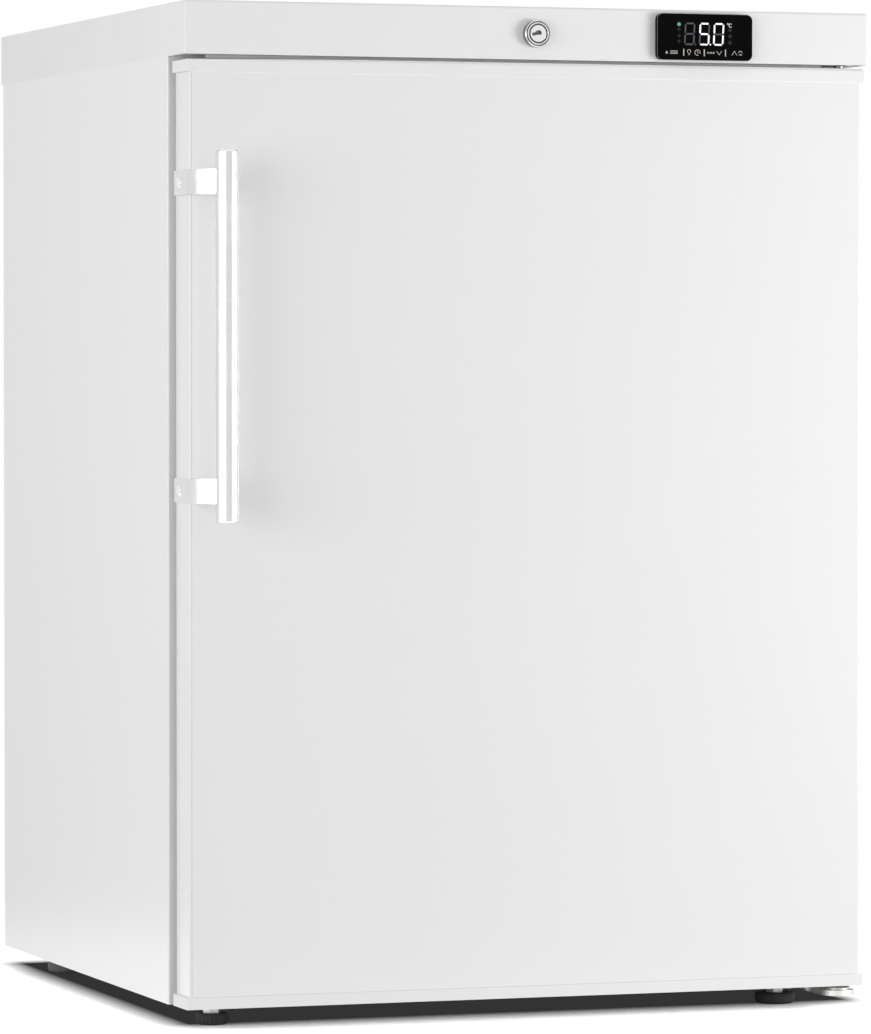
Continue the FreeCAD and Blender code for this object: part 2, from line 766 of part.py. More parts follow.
def bottom_hinge_bracket():
    """Stepped steel bracket: a round lug under the door and a plate under the floor."""
    body = new_body("lower_lug")
    lug = sketch_on(body, "XY_Plane", lug_low)
    rear = front + d.lug_radius * 1.7
    near_side = hinge_x - d.lug_radius
    draw_rectangle(lug, (near_side, hinge_x + d.lug_radius), (hinge_y - d.lug_radius, rear))
    pad(body, lug, d.lug_thick)
    round_edges(body, d.lug_radius * 0.96, lambda e: runs_along(e, "z")
                and near(e.CenterOfMass.y, hinge_y - d.lug_radius))
    step = sketch_on(body, "XZ_Plane", -rear)
    far_side = near_side - d.lug_radius * 2.7
    slope = d.lug_thick * 1.4
    draw_path(step, [
        (near_side + d.lug_thick, lug_low),
        (near_side + d.lug_thick, lug_low + d.lug_thick),
        (near_side, lug_low + d.lug_thick),
        (near_side - slope, bottom),
        (far_side, bottom),
        (far_side, bottom - d.lug_thick),
        (near_side - slope + d.lug_thick / 3, bottom - d.lug_thick),
        (near_side, lug_low),
    ])
    pad(body, step, rear - front - d.sheet)
    holes = [rod("lower_hole", "Z", (x, y, bottom - d.lug_thick), d.screw_radius, d.lug_thick)
             for x, y in screw_places_bottom()]
    bore = rod("lower_bore", "Z", (hinge_x, hinge_y, lug_low), d.pin_radius, d.lug_thick)
    keep(cut("lower_drilled", body, bore, *holes), "bottom_hinge_bracket")


def hinge_pins():
    """Two steel pins: one up into the door's foot, one down into its head."""
    tip = d.pin_radius / 4
    reach = door_low + d.pin_reach - lug_low
    lower = turned("lower_pin", [
        (0, 0), (d.pin_radius, 0), (d.pin_radius, reach - tip), (d.pin_radius - tip, reach),
        (0, reach),
    ], hinge_x, hinge_y, lug_low)
    fall = roof + d.plate_thick - door_high + d.pin_reach
    head = d.pin_radius * 1.6
    upper = turned("upper_pin", [
        (0, -d.screw_cap), (head, -d.screw_cap), (head, 0), (d.pin_radius, 0),
        (d.pin_radius, fall - tip), (d.pin_radius - tip, fall), (0, fall),
    ], hinge_x, hinge_y, roof + d.plate_thick, "-Z")
    keep(group("both_pins", [lower, upper]), "hinge_pins")


def hinge_washer():
    """Domed washer that the door turns on, over the lower lug."""
    low = lug_low + d.lug_thick
    tall = door_low - d.washer_gap - low
    keep(turned("thrust_washer", [
        (d.pin_radius, 0), (d.washer_radius, 0), (d.washer_radius, tall * 0.45),
        (d.washer_radius * 0.75, tall), (d.pin_radius, tall),
    ], hinge_x, hinge_y, low), "hinge_washer")


def screw(name, x, y, z, way, shank, radius=d.screw_radius, head=d.screw_head, cap=d.screw_cap):
    """A pan-head screw whose shank runs along an axis from the seat of its head."""
    return turned(name, [
        (0, -cap), (head * 0.6, -cap), (head, -cap * 0.5), (head, 0), (radius, 0),
        (radius, shank), (0, shank),
    ], x, y, z, way)


def hinge_screws():
    """Screws of both hinge brackets."""
    upper = [screw("upper_screw", x, y, roof + d.plate_thick, "-Z", d.plate_thick + d.screw_long)
             for x, y in screw_places_top()]
    lower = [screw("lower_screw", x, y, bottom - d.lug_thick, "Z",
                   d.lug_thick + d.screw_long - d.sheet) for x, y in screw_places_bottom()]
    keep(group("bracket_screws", upper + lower), "hinge_screws")


# Door

def door_skin():
    """Painted steel sheet folded round the front, the sides and the back edges."""
    body = new_body("skin")
    outline = sketch_on(body, "XY_Plane", door_low + d.cap_tall)
    inner = skin_half - d.sheet
    draw_path(outline, [
        (-skin_half, skin_front), (skin_half, skin_front), (skin_half, door_back),
        (rim_half, door_back), (rim_half, door_back - d.sheet), (inner, door_back - d.sheet),
        (inner, skin_front + d.sheet), (-inner, skin_front + d.sheet),
        (-inner, door_back - d.sheet), (-rim_half, door_back - d.sheet), (-rim_half, door_back),
        (-skin_half, door_back),
    ])
    pad(body, outline, door_high - door_low - d.cap_tall * 2)
    round_edges(body, d.skin_round, lambda e: runs_along(e, "z")
                and near(abs(e.CenterOfMass.x), skin_half) and near(e.CenterOfMass.y, skin_front))
    round_edges(body, d.skin_round - d.sheet, lambda e: runs_along(e, "z")
                and near(abs(e.CenterOfMass.x), inner)
                and near(e.CenterOfMass.y, skin_front + d.sheet))
    keep(cut("skin_drilled", body, *grip_holes("skin_hole")), "door_skin")


def grip_holes(name):
    """Screw holes in the opening edge of the door, in use and spare."""
    length = d.screw_long + d.sheet
    used = [rod(name, "X", (-skin_half, grip_y, z), d.grip_screw, length) for z in grip_places]
    spare = [rod(name + "_spare", "X", (-skin_half, grip_y, z), d.plug_button / 2, length)
             for z in spare_places]
    return used + spare


def door_cap(label, top):
    """Moulded end cap: a shallow tray that closes one end of the folded skin."""
    low = door_high - d.cap_tall if top else door_low
    body = new_body(label + "_tray")
    outline = sketch_on(body, "XY_Plane", low)
    draw_rectangle(outline, (-door_half, door_half), (door_front, door_back))
    pad(body, outline, d.cap_tall)
    round_edges(body, d.cap_front_lip, lambda e: runs_along(e, "z")
                and near(e.CenterOfMass.y, door_front))
    level = low if top else low + d.cap_wall
    hollow = sketch_on(body, "XY_Plane", level)
    wall = d.cap_lip + d.sheet
    draw_rectangle(hollow, (wall - door_half, door_half - wall),
                   (skin_front + d.sheet, door_back - d.liner_wall))
    pocket(body, hollow, d.cap_tall - d.cap_wall, backwards=True)
    start = door_high - d.cap_tall if top else door_low
    tools = [rod(label + "_bore", "Z", (hinge_x, hinge_y, start), bush_radius, d.cap_tall)]
    if top:
        tools.append(cam_slot(label + "_slot"))
    keep(cut(label + "_drilled", body, *tools), label)


def cam_slot(name):
    """The slot in the head of the door that the lock's cam turns into."""
    low = lock_z - d.cam_long - d.cam_play
    return box(name, (lock_x - d.cam_wide / 2 - d.cam_play, lock_x + lock_sweep(door_high)),
               (cam_y - d.cam_play, cam_y + d.cam_thick + d.cam_play), (low, door_high))


plug_half = cavity_half - d.plug_gap
plug_low = cavity_floor + d.plug_gap
plug_high = cavity_roof - d.plug_gap
plug_back = door_back + d.plug_deep


def door_plug_block(name, shrink, start):
    """The raised middle of the door's inner side, less a wall, as a rounded block."""
    body = new_body(name)
    outline = sketch_on(body, "XZ_Plane", -start)
    draw_rectangle(outline, (shrink - plug_half, plug_half - shrink),
                   (plug_low + shrink, plug_high - shrink))
    block = pad(body, outline, plug_back - shrink - start)
    block.Reversed = True
    round_edges(body, d.plug_round - shrink, lambda e: runs_along(e, "y"))
    round_edges(body, (d.plug_round - shrink) / 2,
                lambda e: near(e.CenterOfMass.y, plug_back - shrink))
    return body


def door_foam():
    """Foam that fills the skin, the caps and the raised middle of the liner."""
    wall = skin_half - d.sheet
    block = box("door_block", (-wall, wall), (skin_front + d.sheet, door_back - d.liner_wall),
                (door_low + d.cap_wall, door_high - d.cap_wall))
    middle = door_plug_block("door_block_middle", d.liner_wall, door_back - d.liner_wall * 2)
    corners = []
    for side in (-1, 1):
        outer, inner = side * wall, side * (wall - d.skin_round)
        x = (inner, outer) if side > 0 else (outer, inner)
        edge = skin_front + d.sheet
        square = box("corner_square", x, (edge, edge + d.skin_round),
                     (door_low + d.cap_tall, door_high - d.cap_tall))
        bend = d.skin_round - d.sheet
        arc = rod("corner_arc", "Z", (side * (wall - bend), edge + bend, door_low + d.cap_tall),
                  bend, door_high - door_low - d.cap_tall * 2)
        keepers = box("corner_keep", (-wall + bend, wall - bend), (edge, edge + d.skin_round),
                      (door_low + d.cap_tall, door_high - d.cap_tall))
        rear = box("corner_rear", x, (edge + bend, edge + d.skin_round),
                   (door_low + d.cap_tall, door_high - d.cap_tall))
        corners.append(cut("corner_waste", square, arc, keepers, rear))
    bores = [
        rod("foam_bore", "Z", (hinge_x, hinge_y, door_low), bush_radius, d.pin_reach + d.cap_wall),
        rod("foam_bore", "Z", (hinge_x, hinge_y, door_high - d.pin_reach - d.cap_wall),
            bush_radius, d.pin_reach + d.cap_wall),
    ]
    whole = fuse("door_filling", block, middle)
    keep(cut("door_filling_cut", whole, cam_slot("foam_slot"), *corners, *bores,
             *grip_holes("foam_grip")), "door_foam")


def door_liner():
    """Formed plastic sheet inside the door, raised in the middle."""
    sheet_low = door_low + d.cap_tall
    sheet_high = door_high - d.cap_tall
    flange = box("liner_sheet", (-rim_half, rim_half), (door_back - d.liner_wall, door_back),
                 (sheet_low, sheet_high))
    raised = fuse("liner_raised", flange,
                  door_plug_block("liner_plug", size(0), door_back - d.liner_wall))
    keep(cut("door_liner_hollow", raised,
             door_plug_block("liner_inside", d.liner_wall, door_back - d.liner_wall * 2)),
         "door_liner")


def door_gasket():
    """Magnetic seal: a soft frame with a hollow bellows, standing off the door."""
    outer_half = hinge_x - d.seal_outset
    low = bottom + half - outer_half
    high = roof - (half - outer_half) - d.seal_outset
    wide = d.seal_wide
    deep = d.seal_gap - d.seal_clear
    body = new_body("seal")
    outline = sketch_on(body, "XZ_Plane", -door_back)
    draw_rectangle(outline, (-outer_half, outer_half), (low, high))
    draw_rectangle(outline, (wide - outer_half, outer_half - wide), (low + wide, high - wide))
    ring = pad(body, outline, deep)
    ring.Reversed = True
    groove = sketch_on(body, "XZ_Plane", -door_back - deep)
    for inset in (wide * 0.35, wide * 0.8):
        draw_rectangle(groove, (inset - outer_half, outer_half - inset), (low + inset, high - inset))
    pocket(body, groove, deep * 0.35, backwards=True)
    keep(body, "door_gasket")


# Handle

def handle_bar():
    """Round bar with a small bevel at each end."""
    body = new_body("bar")
    outline = sketch_on(body, "XY_Plane", -d.bar_long / 2)
    draw_circle(outline, 0, 0, d.bar_radius)
    pad(body, outline, d.bar_long)
    round_edges(body, d.bar_chamfer, lambda e: near(abs(e.CenterOfMass.z), d.bar_long / 2),
                kind="PartDesign::Chamfer")
    place(body, bar_x, bar_y, grip_z)
    keep(body, "handle_bar")


def handle_strap(name, level):
    """A strap from the edge of the door, curved forward to the bar."""
    outer = -skin_half - d.strap_thick
    turn = skin_front + d.skin_round
    rear = door_back - d.strap_back
    centre = outer + d.strap_round
    body = new_body(name)
    sketch = sketch_on(body, "XY_Plane", level - d.strap_tall / 2)
    reach = centre - bar_x
    bend = d.strap_round
    tight = d.strap_round - d.strap_thick
    outer_end = turn - (bend * bend - reach * reach).root()
    inner_end = turn - (tight * tight - reach * reach).root()
    vector = lambda x, y: FreeCAD.Vector(size(x).value, size(y).value, 0)
    corners = [(outer, turn), (outer, rear), (-skin_half, rear), (-skin_half, turn)]
    for first, second in zip(corners, corners[1:]):
        sketch.addGeometry(Part.LineSegment(vector(*first), vector(*second)), False)
    middle = vector(centre, turn)
    up = FreeCAD.Vector(0, 0, 1)
    for radius in (tight, bend):
        angle = math.pi + math.acos(reach.value / radius.value)
        circle = Part.Circle(middle, up, radius.value)
        sketch.addGeometry(Part.ArcOfCircle(circle, math.pi, angle), False)
    sketch.addGeometry(Part.LineSegment(vector(bar_x, inner_end), vector(bar_x, outer_end)), False)
    for first, second in (((0, 2), (1, 1)), ((1, 2), (2, 1)), ((2, 2), (3, 1)), ((3, 2), (5, 1)),
                          ((5, 2), (4, 2)), ((4, 1), (0, 1))):
        sketch.addConstraint(Sketcher.Constraint("Coincident", *first, *second))
    for i, corner in enumerate(corners[:3]):
        pin_down(sketch, i, 1, *corner)
    pin_down(sketch, 2, 2, *corners[3])
    for arc in (3, 4):
        pin_down(sketch, arc, 3, centre, turn)
    for point in (1, 2):
        made = sketch.addConstraint(Sketcher.Constraint("DistanceX", -1, 1, 5, point, bar_x.value))
        sketch.setExpression(f"Constraints[{made}]", bar_x.text)
    pad(body, sketch, d.strap_tall)
    bar = rod(name + "_bar", "Z", (bar_x, bar_y, level - d.strap_tall), d.bar_radius,
              d.strap_tall * 2)
    hole = rod(name + "_hole", "X", (outer, grip_y, level), d.grip_screw, d.strap_thick)
    return cut(name + "_fitted", body, bar, hole)


def handle_brackets():
    straps = [handle_strap(f"strap_{i}", level) for i, level in enumerate(grip_places, 1)]
    keep(group("straps", straps), "handle_brackets")


def handle_screws():
    """Screws through the straps into the edge of the door."""
    outer = -skin_half - d.strap_thick
    screws = [screw(f"grip_screw_{i}", outer, grip_y, level, "X", d.strap_thick + d.screw_long,
                    radius=d.grip_screw, cap=d.strap_screw_cap)
              for i, level in enumerate(grip_places, 1)]
    keep(group("grip_screws", screws), "handle_screws")


def door_plugs():
    """Plugs in the spare screw holes, for a handle on a door that opens the other way."""
    stem = d.plug_button / 2
    plugs = [turned(f"spare_plug_{i}", [
        (0, -d.sheet), (d.plug_button * 0.8, -d.sheet), (d.plug_button, 0), (stem, 0),
        (stem, d.screw_long), (0, d.screw_long),
    ], -skin_half, grip_y, level, "X") for i, level in enumerate(spare_places, 1)]
    keep(group("spare_plugs", plugs), "door_plugs")


def door_hinge_bushes():
    """Plain bushes in the two end caps."""
    profile = [(d.pin_radius + d.run_fit, 0), (bush_radius, 0),
               (bush_radius, d.pin_reach + d.cap_wall),
               (d.pin_radius + d.run_fit, d.pin_reach + d.cap_wall)]
    lower = turned("lower_bush", profile, hinge_x, hinge_y, door_low)
    upper = turned("upper_bush", profile, hinge_x, hinge_y, door_high, "-Z")
    keep(group("both_bushes", [lower, upper]), "door_hinge_bushes")


# Feet

def foot(label, x, y, ribbed):
    """Levelling foot: a pad and a hexagon for the spanner on a threaded stud."""
    body = new_body(label)
    profile = sketch_on(body, "XZ_Plane")
    rim = d.ribbed_pad_radius if ribbed else d.pad_radius
    flat = rim * 0.9
    draw_path(profile, [
        (0, 0), (flat, 0), (rim, d.pad_tall * 0.25), (rim, d.pad_tall * 0.8),
        (flat, d.pad_tall), (d.stud_radius, d.pad_tall), (d.stud_radius, d.stud_long),
        (0, d.stud_long),
    ])
    spin(body, profile)
    hexagon = sketch_on(body, "XY_Plane", d.pad_tall)
    draw_hexagon(hexagon, d.nut_across)
    pad(body, hexagon, d.boss_tall)
    if ribbed:
        groove = sketch_on(body, "XY_Plane", d.pad_tall)
        draw_circle(groove, rim + d.pad_groove / 3, 0, d.pad_groove)
        cutter = pocket(body, groove, d.pad_tall)
        repeat_round(body, cutter, 24)
    place(body, x, y, 0)
    keep(body, label)


def foot_nuts():
    """Lock nuts of the feet, tight against the underside."""
    nuts = []
    for label, (x, y) in foot_places.items():
        body = new_body(label + "_nut")
        outline = sketch_on(body, "XY_Plane")
        draw_hexagon(outline, d.nut_across)
        draw_circle(outline, 0, 0, d.stud_radius + d.run_fit)
        pad(body, outline, d.nut_tall)
        place(body, x, y, bottom - d.nut_tall)
        nuts.append(body)
    keep(group("all_foot_nuts", nuts), "foot_nuts")


def foot_inserts():
    """Threaded inserts in the floor that the studs of the feet screw into."""
    bore = d.stud_radius + d.run_fit
    profile = [(bore, 0), (bore + d.insert_wall, 0), (bore + d.insert_wall, d.insert_tall),
               (bore, d.insert_tall)]
    inserts = [turned(label + "_insert", profile, x, y, bottom)
               for label, (x, y) in foot_places.items()]
    keep(group("all_foot_inserts", inserts), "foot_inserts")


# Cavity fittings

def wire_shelf(label, level):
    """Wire shelf: a round frame, two cross bars and close wires from front to back."""
    side = cavity_half - d.shelf_gap
    low_y = front + d.shelf_front + d.frame_wire
    high_y = low_y + d.shelf_deep - d.frame_wire * 2
    axis = level + d.frame_wire
    long_x = side * 2
    long_y = high_y - low_y
    wires = []
    for i, sign in enumerate((-1, 1)):
        wires.append(rod(label + "_side", "Y", (sign * side, low_y, axis), d.frame_wire, long_y))
    for y in (low_y, high_y):
        wires.append(rod(label + "_end", "X", (-side, y, axis), d.frame_wire, long_x))
    for sign in (-1, 1):
        for y in (low_y, high_y):
            ball = doc.addObject("Part::Sphere", label + "_corner")
            bind(ball, Radius=d.frame_wire)
            place(ball, sign * side, y, axis)
            wires.append(ball)
    for share in (0.33, 0.67):
        y = low_y + long_y * share
        wires.append(rod(label + "_bar", "X", (-side, y, axis), d.frame_wire * 0.8, long_x))
    count = int(round(long_x.value / d.wire_pitch.value)) - 1
    top = axis + d.frame_wire - d.cross_wire * 0.4
    for i in range(count):
        x = -side + long_x * ((i + 1) / (count + 1))
        wires.append(rod(label + "_wire", "Y", (x, low_y, top), d.cross_wire, long_y))
    keep(fuse(label + "_welded", *wires), label)


def ring_slots(name, x, z, y, deep, radius):
    """Ring-shaped slots with four spokes left between them, as one cutting solid."""
    rings = []
    count = int((radius.value - d.grille_bar.value * 3) / (d.grille_bar + d.grille_gap).value)
    for i in range(count):
        outer = radius - (d.grille_bar + d.grille_gap) * i
        rings.append(cut(f"{name}_ring",
                         rod(f"{name}_outer", "Y", (x, y, z), outer, deep),
                         rod(f"{name}_inner", "Y", (x, y, z), outer - d.grille_gap, deep)))
    arm = d.grille_bar / 2
    spokes = [box(f"{name}_spoke", (x - radius, x + radius), (y, y + deep), (z - arm, z + arm)),
              box(f"{name}_spoke", (x - arm, x + arm), (y, y + deep), (z - radius, z + radius))]
    return cut(name + "_slots", fuse(name + "_rings", *rings), *spokes)


fan_z = d.fan_height


def evaporator_cover():
    """Full-height air duct over the evaporator, with a fan grille and return slots."""
    wide = d.duct_wide / 2
    body = new_body("duct")
    outline = sketch_on(body, "XZ_Plane", -duct_front)
    draw_rectangle(outline, (-wide, wide), (duct_low, duct_high))
    block = pad(body, outline, d.duct_deep)
    block.Reversed = True
    round_edges(body, d.duct_round, lambda e: near(e.CenterOfMass.y, duct_front)
                or (runs_along(e, "y") and near(e.CenterOfMass.z, duct_high)))
    hollow = sketch_on(body, "XZ_Plane", -cavity_back)
    draw_rectangle(hollow, (d.duct_wall - wide, wide - d.duct_wall),
                   (duct_low + d.duct_wall, duct_high - d.duct_wall))
    pocket(body, hollow, d.duct_deep - d.duct_wall, backwards=True)
    slots = [ring_slots("fan_grille", size(0), fan_z, duct_front - d.duct_wall, d.duct_wall * 3,
                        d.fan_radius + d.grille_gap / 2)]
    tall = d.grille_gap * 4
    count = 13
    for i in range(count):
        x = d.grille_pitch * (i - (count - 1) / 2)
        low = duct_low + d.grille_gap * 2
        slots.append(box("return_slot", (x - d.grille_slot / 2, x + d.grille_slot / 2),
                         (duct_front - d.duct_wall, duct_front + d.duct_wall * 2),
                         (low, low + tall)))
    floor_cut = [rod("duct_hole", "Z", (x, y, duct_low - d.duct_wall), radius, d.duct_wall * 3)
                 for x, y, radius in ((pot_x, drain_y, d.drain_radius * 1.5),
                                      (suction_x, bay_middle, d.line_radius * 1.5),
                                      (drier_x, capillary_y, d.line_radius))]
    slotted = cut("duct_slotted", body, *slots, *floor_cut)
    fitted = doc.addObject("Part::Common", "duct_fitted")
    fitted.Base = slotted
    fitted.Tool = cavity_block("duct_space", size(0), front)
    keep(fitted, "evaporator_cover")


def finned_coil(name, wide, deep, tall, x, y, z, rows, columns, way):
    """A block of thin fins on straight tubes, built along X and turned to its place."""
    body = new_body(name)
    start = -wide / 2
    fin = sketch_on(body, "YZ_Plane", start)
    draw_rectangle(fin, (-deep / 2, deep / 2), (0, tall))
    plate = pad(body, fin, d.fin)
    count = int(round(wide.value / d.fin_pitch.value)) + 1
    repeat_along(body, plate, "X_Axis", wide - d.fin, count)
    tubes = sketch_on(body, "YZ_Plane", start - d.coil_tube * 2)
    for row in range(rows):
        for column in range(columns):
            across = deep * ((column + 0.5) / columns - 0.5)
            draw_circle(tubes, across, tall * ((row + 0.5) / rows), d.coil_tube)
    joined = pad(body, tubes, wide + d.coil_tube * 4)
    body.Tip = joined
    turn = FreeCAD.Rotation(FreeCAD.Vector(0, 0, 1), way)
    place(body, x, y, z, turn=turn)
    return body


coil_y = cavity_back - d.coil_deep / 2 - d.duct_clear


def evaporator():
    """Finned evaporator behind the duct, hung from the back wall on two brackets."""
    coil = finned_coil("cold_coil", d.coil_wide, d.coil_deep, d.coil_tall, 0, coil_y,
                       d.coil_low, 3, 2, 0)
    plates = []
    for side in (-1, 1):
        middle = side * d.coil_wide / 3
        plates.append(box("coil_bracket", (middle - d.coil_tube, middle + d.coil_tube),
                          (coil_y + d.coil_deep / 4, cavity_back),
                          (d.coil_low + d.coil_tall * 0.7, d.coil_low + d.coil_tall * 0.9)))
    keep(fuse("cold_coil_hung", coil, *plates), "evaporator")


# Shares of a fan's depth: its motor, the start of its wheel, and the bore in the wheel's hub
MOTOR_SHARE = 0.35
WHEEL_SHARE = 0.4
BORE_SHARE = 0.8

wheel_deep = d.blower_deep * 0.5
shaft_radius = d.line_radius * 0.8


def fan_frame(name, across, deep, radius, hub):
    """A square fan frame: a round air way, four arms and a motor in the middle."""
    body = new_body(name)
    outline = sketch_on(body, "XY_Plane")
    draw_rectangle(outline, (-across / 2, across / 2), (-across / 2, across / 2))
    draw_circle(outline, 0, 0, radius)
    pad(body, outline, deep)
    round_edges(body, d.duct_round / 2, lambda e: runs_along(e, "z")
                and near(abs(e.CenterOfMass.x), across / 2))
    motor_tall = deep * MOTOR_SHARE
    motor = rod(name + "_motor", "Z", (size(0), size(0), size(0)), hub, motor_tall)
    arm = d.grille_bar
    arms = [
        box(name + "_arm", (-radius - arm, radius + arm), (-arm / 2, arm / 2),
            (size(0), deep * 0.15)),
        box(name + "_arm", (-arm / 2, arm / 2), (-radius - arm, radius + arm),
            (size(0), deep * 0.15)),
    ]
    shaft_long = deep * (WHEEL_SHARE - MOTOR_SHARE) + wheel_deep * BORE_SHARE * 0.95
    shaft = rod(name + "_shaft", "Z", (size(0), size(0), motor_tall), shaft_radius, shaft_long)
    return fuse(name + "_built", body, motor, *arms, shaft)


def impeller(name, radius, hub, blades):
    """Fan wheel: a bored hub with twisted blades."""
    body = new_body(name)
    bore = shaft_radius + d.run_fit
    deep = wheel_deep
    profile = sketch_on(body, "XZ_Plane")
    draw_path(profile, [
        (bore, 0), (hub - deep * 0.12, 0), (hub, deep * 0.12), (hub, deep), (0, deep),
        (0, deep * BORE_SHARE), (bore, deep * BORE_SHARE),
    ])
    spin(body, profile)
    sections = []
    chord = hub * 0.95
    for place_out, pitch, share in ((hub * 0.9, 42, 0.8), (radius, 24, 1.2)):
        section = sketch_on(body, "YZ_Plane", place_out, pitch)
        long = chord * share
        rise = deep / 2
        turn_back = math.radians(pitch)
        centre_x = rise * math.sin(turn_back)
        centre_y = rise * math.cos(turn_back)
        draw_rectangle(section, (centre_x - long / 2, centre_x + long / 2),
                       (centre_y - d.fin * 0.7, centre_y + d.fin * 0.7))
        sections.append(section)
    blade = body.newObject("PartDesign::AdditiveLoft", name + "_blade")
    blade.Profile = sections[0]
    blade.Sections = [sections[1]]
    blade.Ruled = True
    doc.recompute()
    repeat_round(body, blade, blades)
    return body


def evaporator_fan_pieces():
    """Fan that blows through the grille of the duct, on a frame off the back wall."""
    across = (d.fan_radius + d.grille_gap) * 2
    frame = fan_frame("cold_frame", across, d.blower_deep, d.fan_radius + d.grille_bar,
                      d.fan_radius * 0.4)
    place(frame, 0, duct_front + d.duct_wall + d.blower_deep, fan_z, turn=TURNS["-Y"])
    keep(frame, "evaporator_fan_frame")
    wheel = impeller("cold_wheel", d.fan_radius, d.fan_radius * 0.4, 5)
    place(wheel, 0, duct_front + d.duct_wall + d.blower_deep * (1 - WHEEL_SHARE), fan_z,
          turn=TURNS["-Y"])
    keep(wheel, "evaporator_fan")


def interior_light():
    """Light bar under the roof of the cavity, behind the door's raised middle."""
    body = new_body("light_bar")
    wide = d.light_wide / 2
    outline = sketch_on(body, "XY_Plane", cavity_roof - d.light_tall)
    low = front + d.light_back
    draw_rectangle(outline, (-wide, wide), (low, low + d.light_deep))
    pad(body, outline, d.light_tall)
    round_edges(body, d.light_tall / 2, lambda e: near(e.CenterOfMass.z, cavity_roof - d.light_tall)
                or runs_along(e, "z"))
    keep(body, "interior_light")


def temperature_probe():
    """Air probe in its holder on the left wall, between two shelves."""
    level = shelf_heights()[1] + d.shelf_pitch / 2
    wall = -cavity_half
    depth = front + d.shelf_deep * 0.6
    holder = box("probe_holder", (wall, wall + d.duct_round), (depth, depth + d.probe_tall),
                 (level - d.probe_tall, level + d.probe_tall))
    rod_x = wall + d.duct_round + d.line_radius * 0.8
    sensor = rod("probe_rod", "Y", (rod_x, depth - d.probe_tall, level), d.line_radius,
                 d.probe_tall * 3)
    keep(fuse("probe_held", holder, sensor), "temperature_probe")


def drain_tube():
    """Funnel and tube that carry melt water through the hump to the drip tray."""
    top = d.drain_radius * 1.3
    long = hump_roof - pot_high - d.drip_wall * 3
    bore = d.drain_radius * 0.7
    lip = d.duct_clear / 5
    keep(turned("drain", [
        (bore, -long), (d.drain_radius, -long), (d.drain_radius, 0), (top, 0), (top, lip),
        (bore, lip),
    ], pot_x, drain_y, hump_roof), "drain_tube")


# Machine bay

def compressor_tray():
    """Folded floor of the machine bay."""
    body = new_body("bay_floor")
    profile = sketch_on(body, "YZ_Plane", d.sheet - half)
    rear = back - d.sheet
    wall = d.tray_sheet
    draw_path(profile, [
        (bay_front, bottom), (rear, bottom), (rear, bottom + d.tray_flange),
        (rear - wall, bottom + d.tray_flange), (rear - wall, tray_top),
        (bay_front, tray_top),
    ])
    pad(body, profile, d.wide - d.sheet * 2)
    keep(cut("bay_floor_drilled", body, *foot_holes("bay_foot")), "compressor_tray")


# Roundness of the pot's ends, as a share of half its depth
POT_END = 0.96


def compressor():
    """Welded pot with a seam round its middle and a foot plate."""
    body = new_body("pot")
    outline = sketch_on(body, "XY_Plane", pot_low)
    wide, deep = d.pot_wide / 2, d.pot_deep / 2
    draw_rectangle(outline, (pot_x - wide, pot_x + wide), (bay_middle - deep, bay_middle + deep))
    pad(body, outline, d.pot_tall)
    round_edges(body, deep * POT_END, lambda e: runs_along(e, "z"))
    round_edges(body, deep * 0.55, lambda e: near(e.CenterOfMass.z, pot_low)
                or near(e.CenterOfMass.z, pot_high))
    seam = new_body("pot_seam")
    lip = d.drip_wall
    ring = sketch_on(seam, "XY_Plane", pot_low + d.pot_tall * 0.52)
    draw_rectangle(ring, (pot_x - wide - lip, pot_x + wide + lip),
                   (bay_middle - deep - lip, bay_middle + deep + lip))
    pad(seam, ring, lip * 2)
    round_edges(seam, (deep + lip) * POT_END, lambda e: runs_along(e, "z"))
    foot_deep = deep * 0.8
    plate = box("pot_plate", (pot_x - wide - lip, pot_x + wide + lip),
                (bay_middle - foot_deep, bay_middle + foot_deep), (pot_low - lip, pot_low + lip))
    keep(fuse("pot_whole", body, seam, plate), "compressor")


def compressor_mounts():
    """Rubber buffers between the foot plate of the compressor and the bay floor."""
    tall = pot_low - d.drip_wall - tray_top
    radius = d.drain_radius
    profile = [(0, 0), (radius, 0), (radius, tall * 0.4), (radius * 0.75, tall * 0.5),
               (radius, tall * 0.6), (radius, tall), (0, tall)]
    buffers = []
    for sx in (-1, 1):
        for sy in (-1, 1):
            x = pot_x + sx * (d.pot_wide / 2 - d.drain_radius)
            y = bay_middle + sy * (d.pot_deep * 0.4 - d.drain_radius)
            buffers.append(turned("buffer", profile, x, y, tray_top))
    keep(group("buffers", buffers), "compressor_mounts")


def compressor_terminal_box():
    """Cover over the compressor's start relay."""
    body = new_body("relay")
    start = pot_x + d.pot_wide / 2 - d.drip_wall
    low = pot_low + d.pot_tall * 0.18
    outline = sketch_on(body, "YZ_Plane", start)
    deep = d.pot_deep * 0.2
    draw_rectangle(outline, (bay_middle - deep, bay_middle + deep), (low, low + d.pot_tall * 0.3))
    pad(body, outline, d.pot_wide * 0.2)
    round_edges(body, d.duct_round, lambda e: near(e.CenterOfMass.x, start + d.pot_wide * 0.2)
                or runs_along(e, "x"))
    pot = cut("relay_fitted", body, pot_copy("relay_pot"))
    keep(pot, "compressor_terminal_box")


def pot_copy(name):
    """The rounded pot again, as a cutting solid."""
    body = new_body(name)
    outline = sketch_on(body, "XY_Plane", pot_low)
    wide, deep = d.pot_wide / 2, d.pot_deep / 2
    draw_rectangle(outline, (pot_x - wide, pot_x + wide), (bay_middle - deep, bay_middle + deep))
    pad(body, outline, d.pot_tall)
    round_edges(body, deep * POT_END, lambda e: runs_along(e, "z"))
    return body


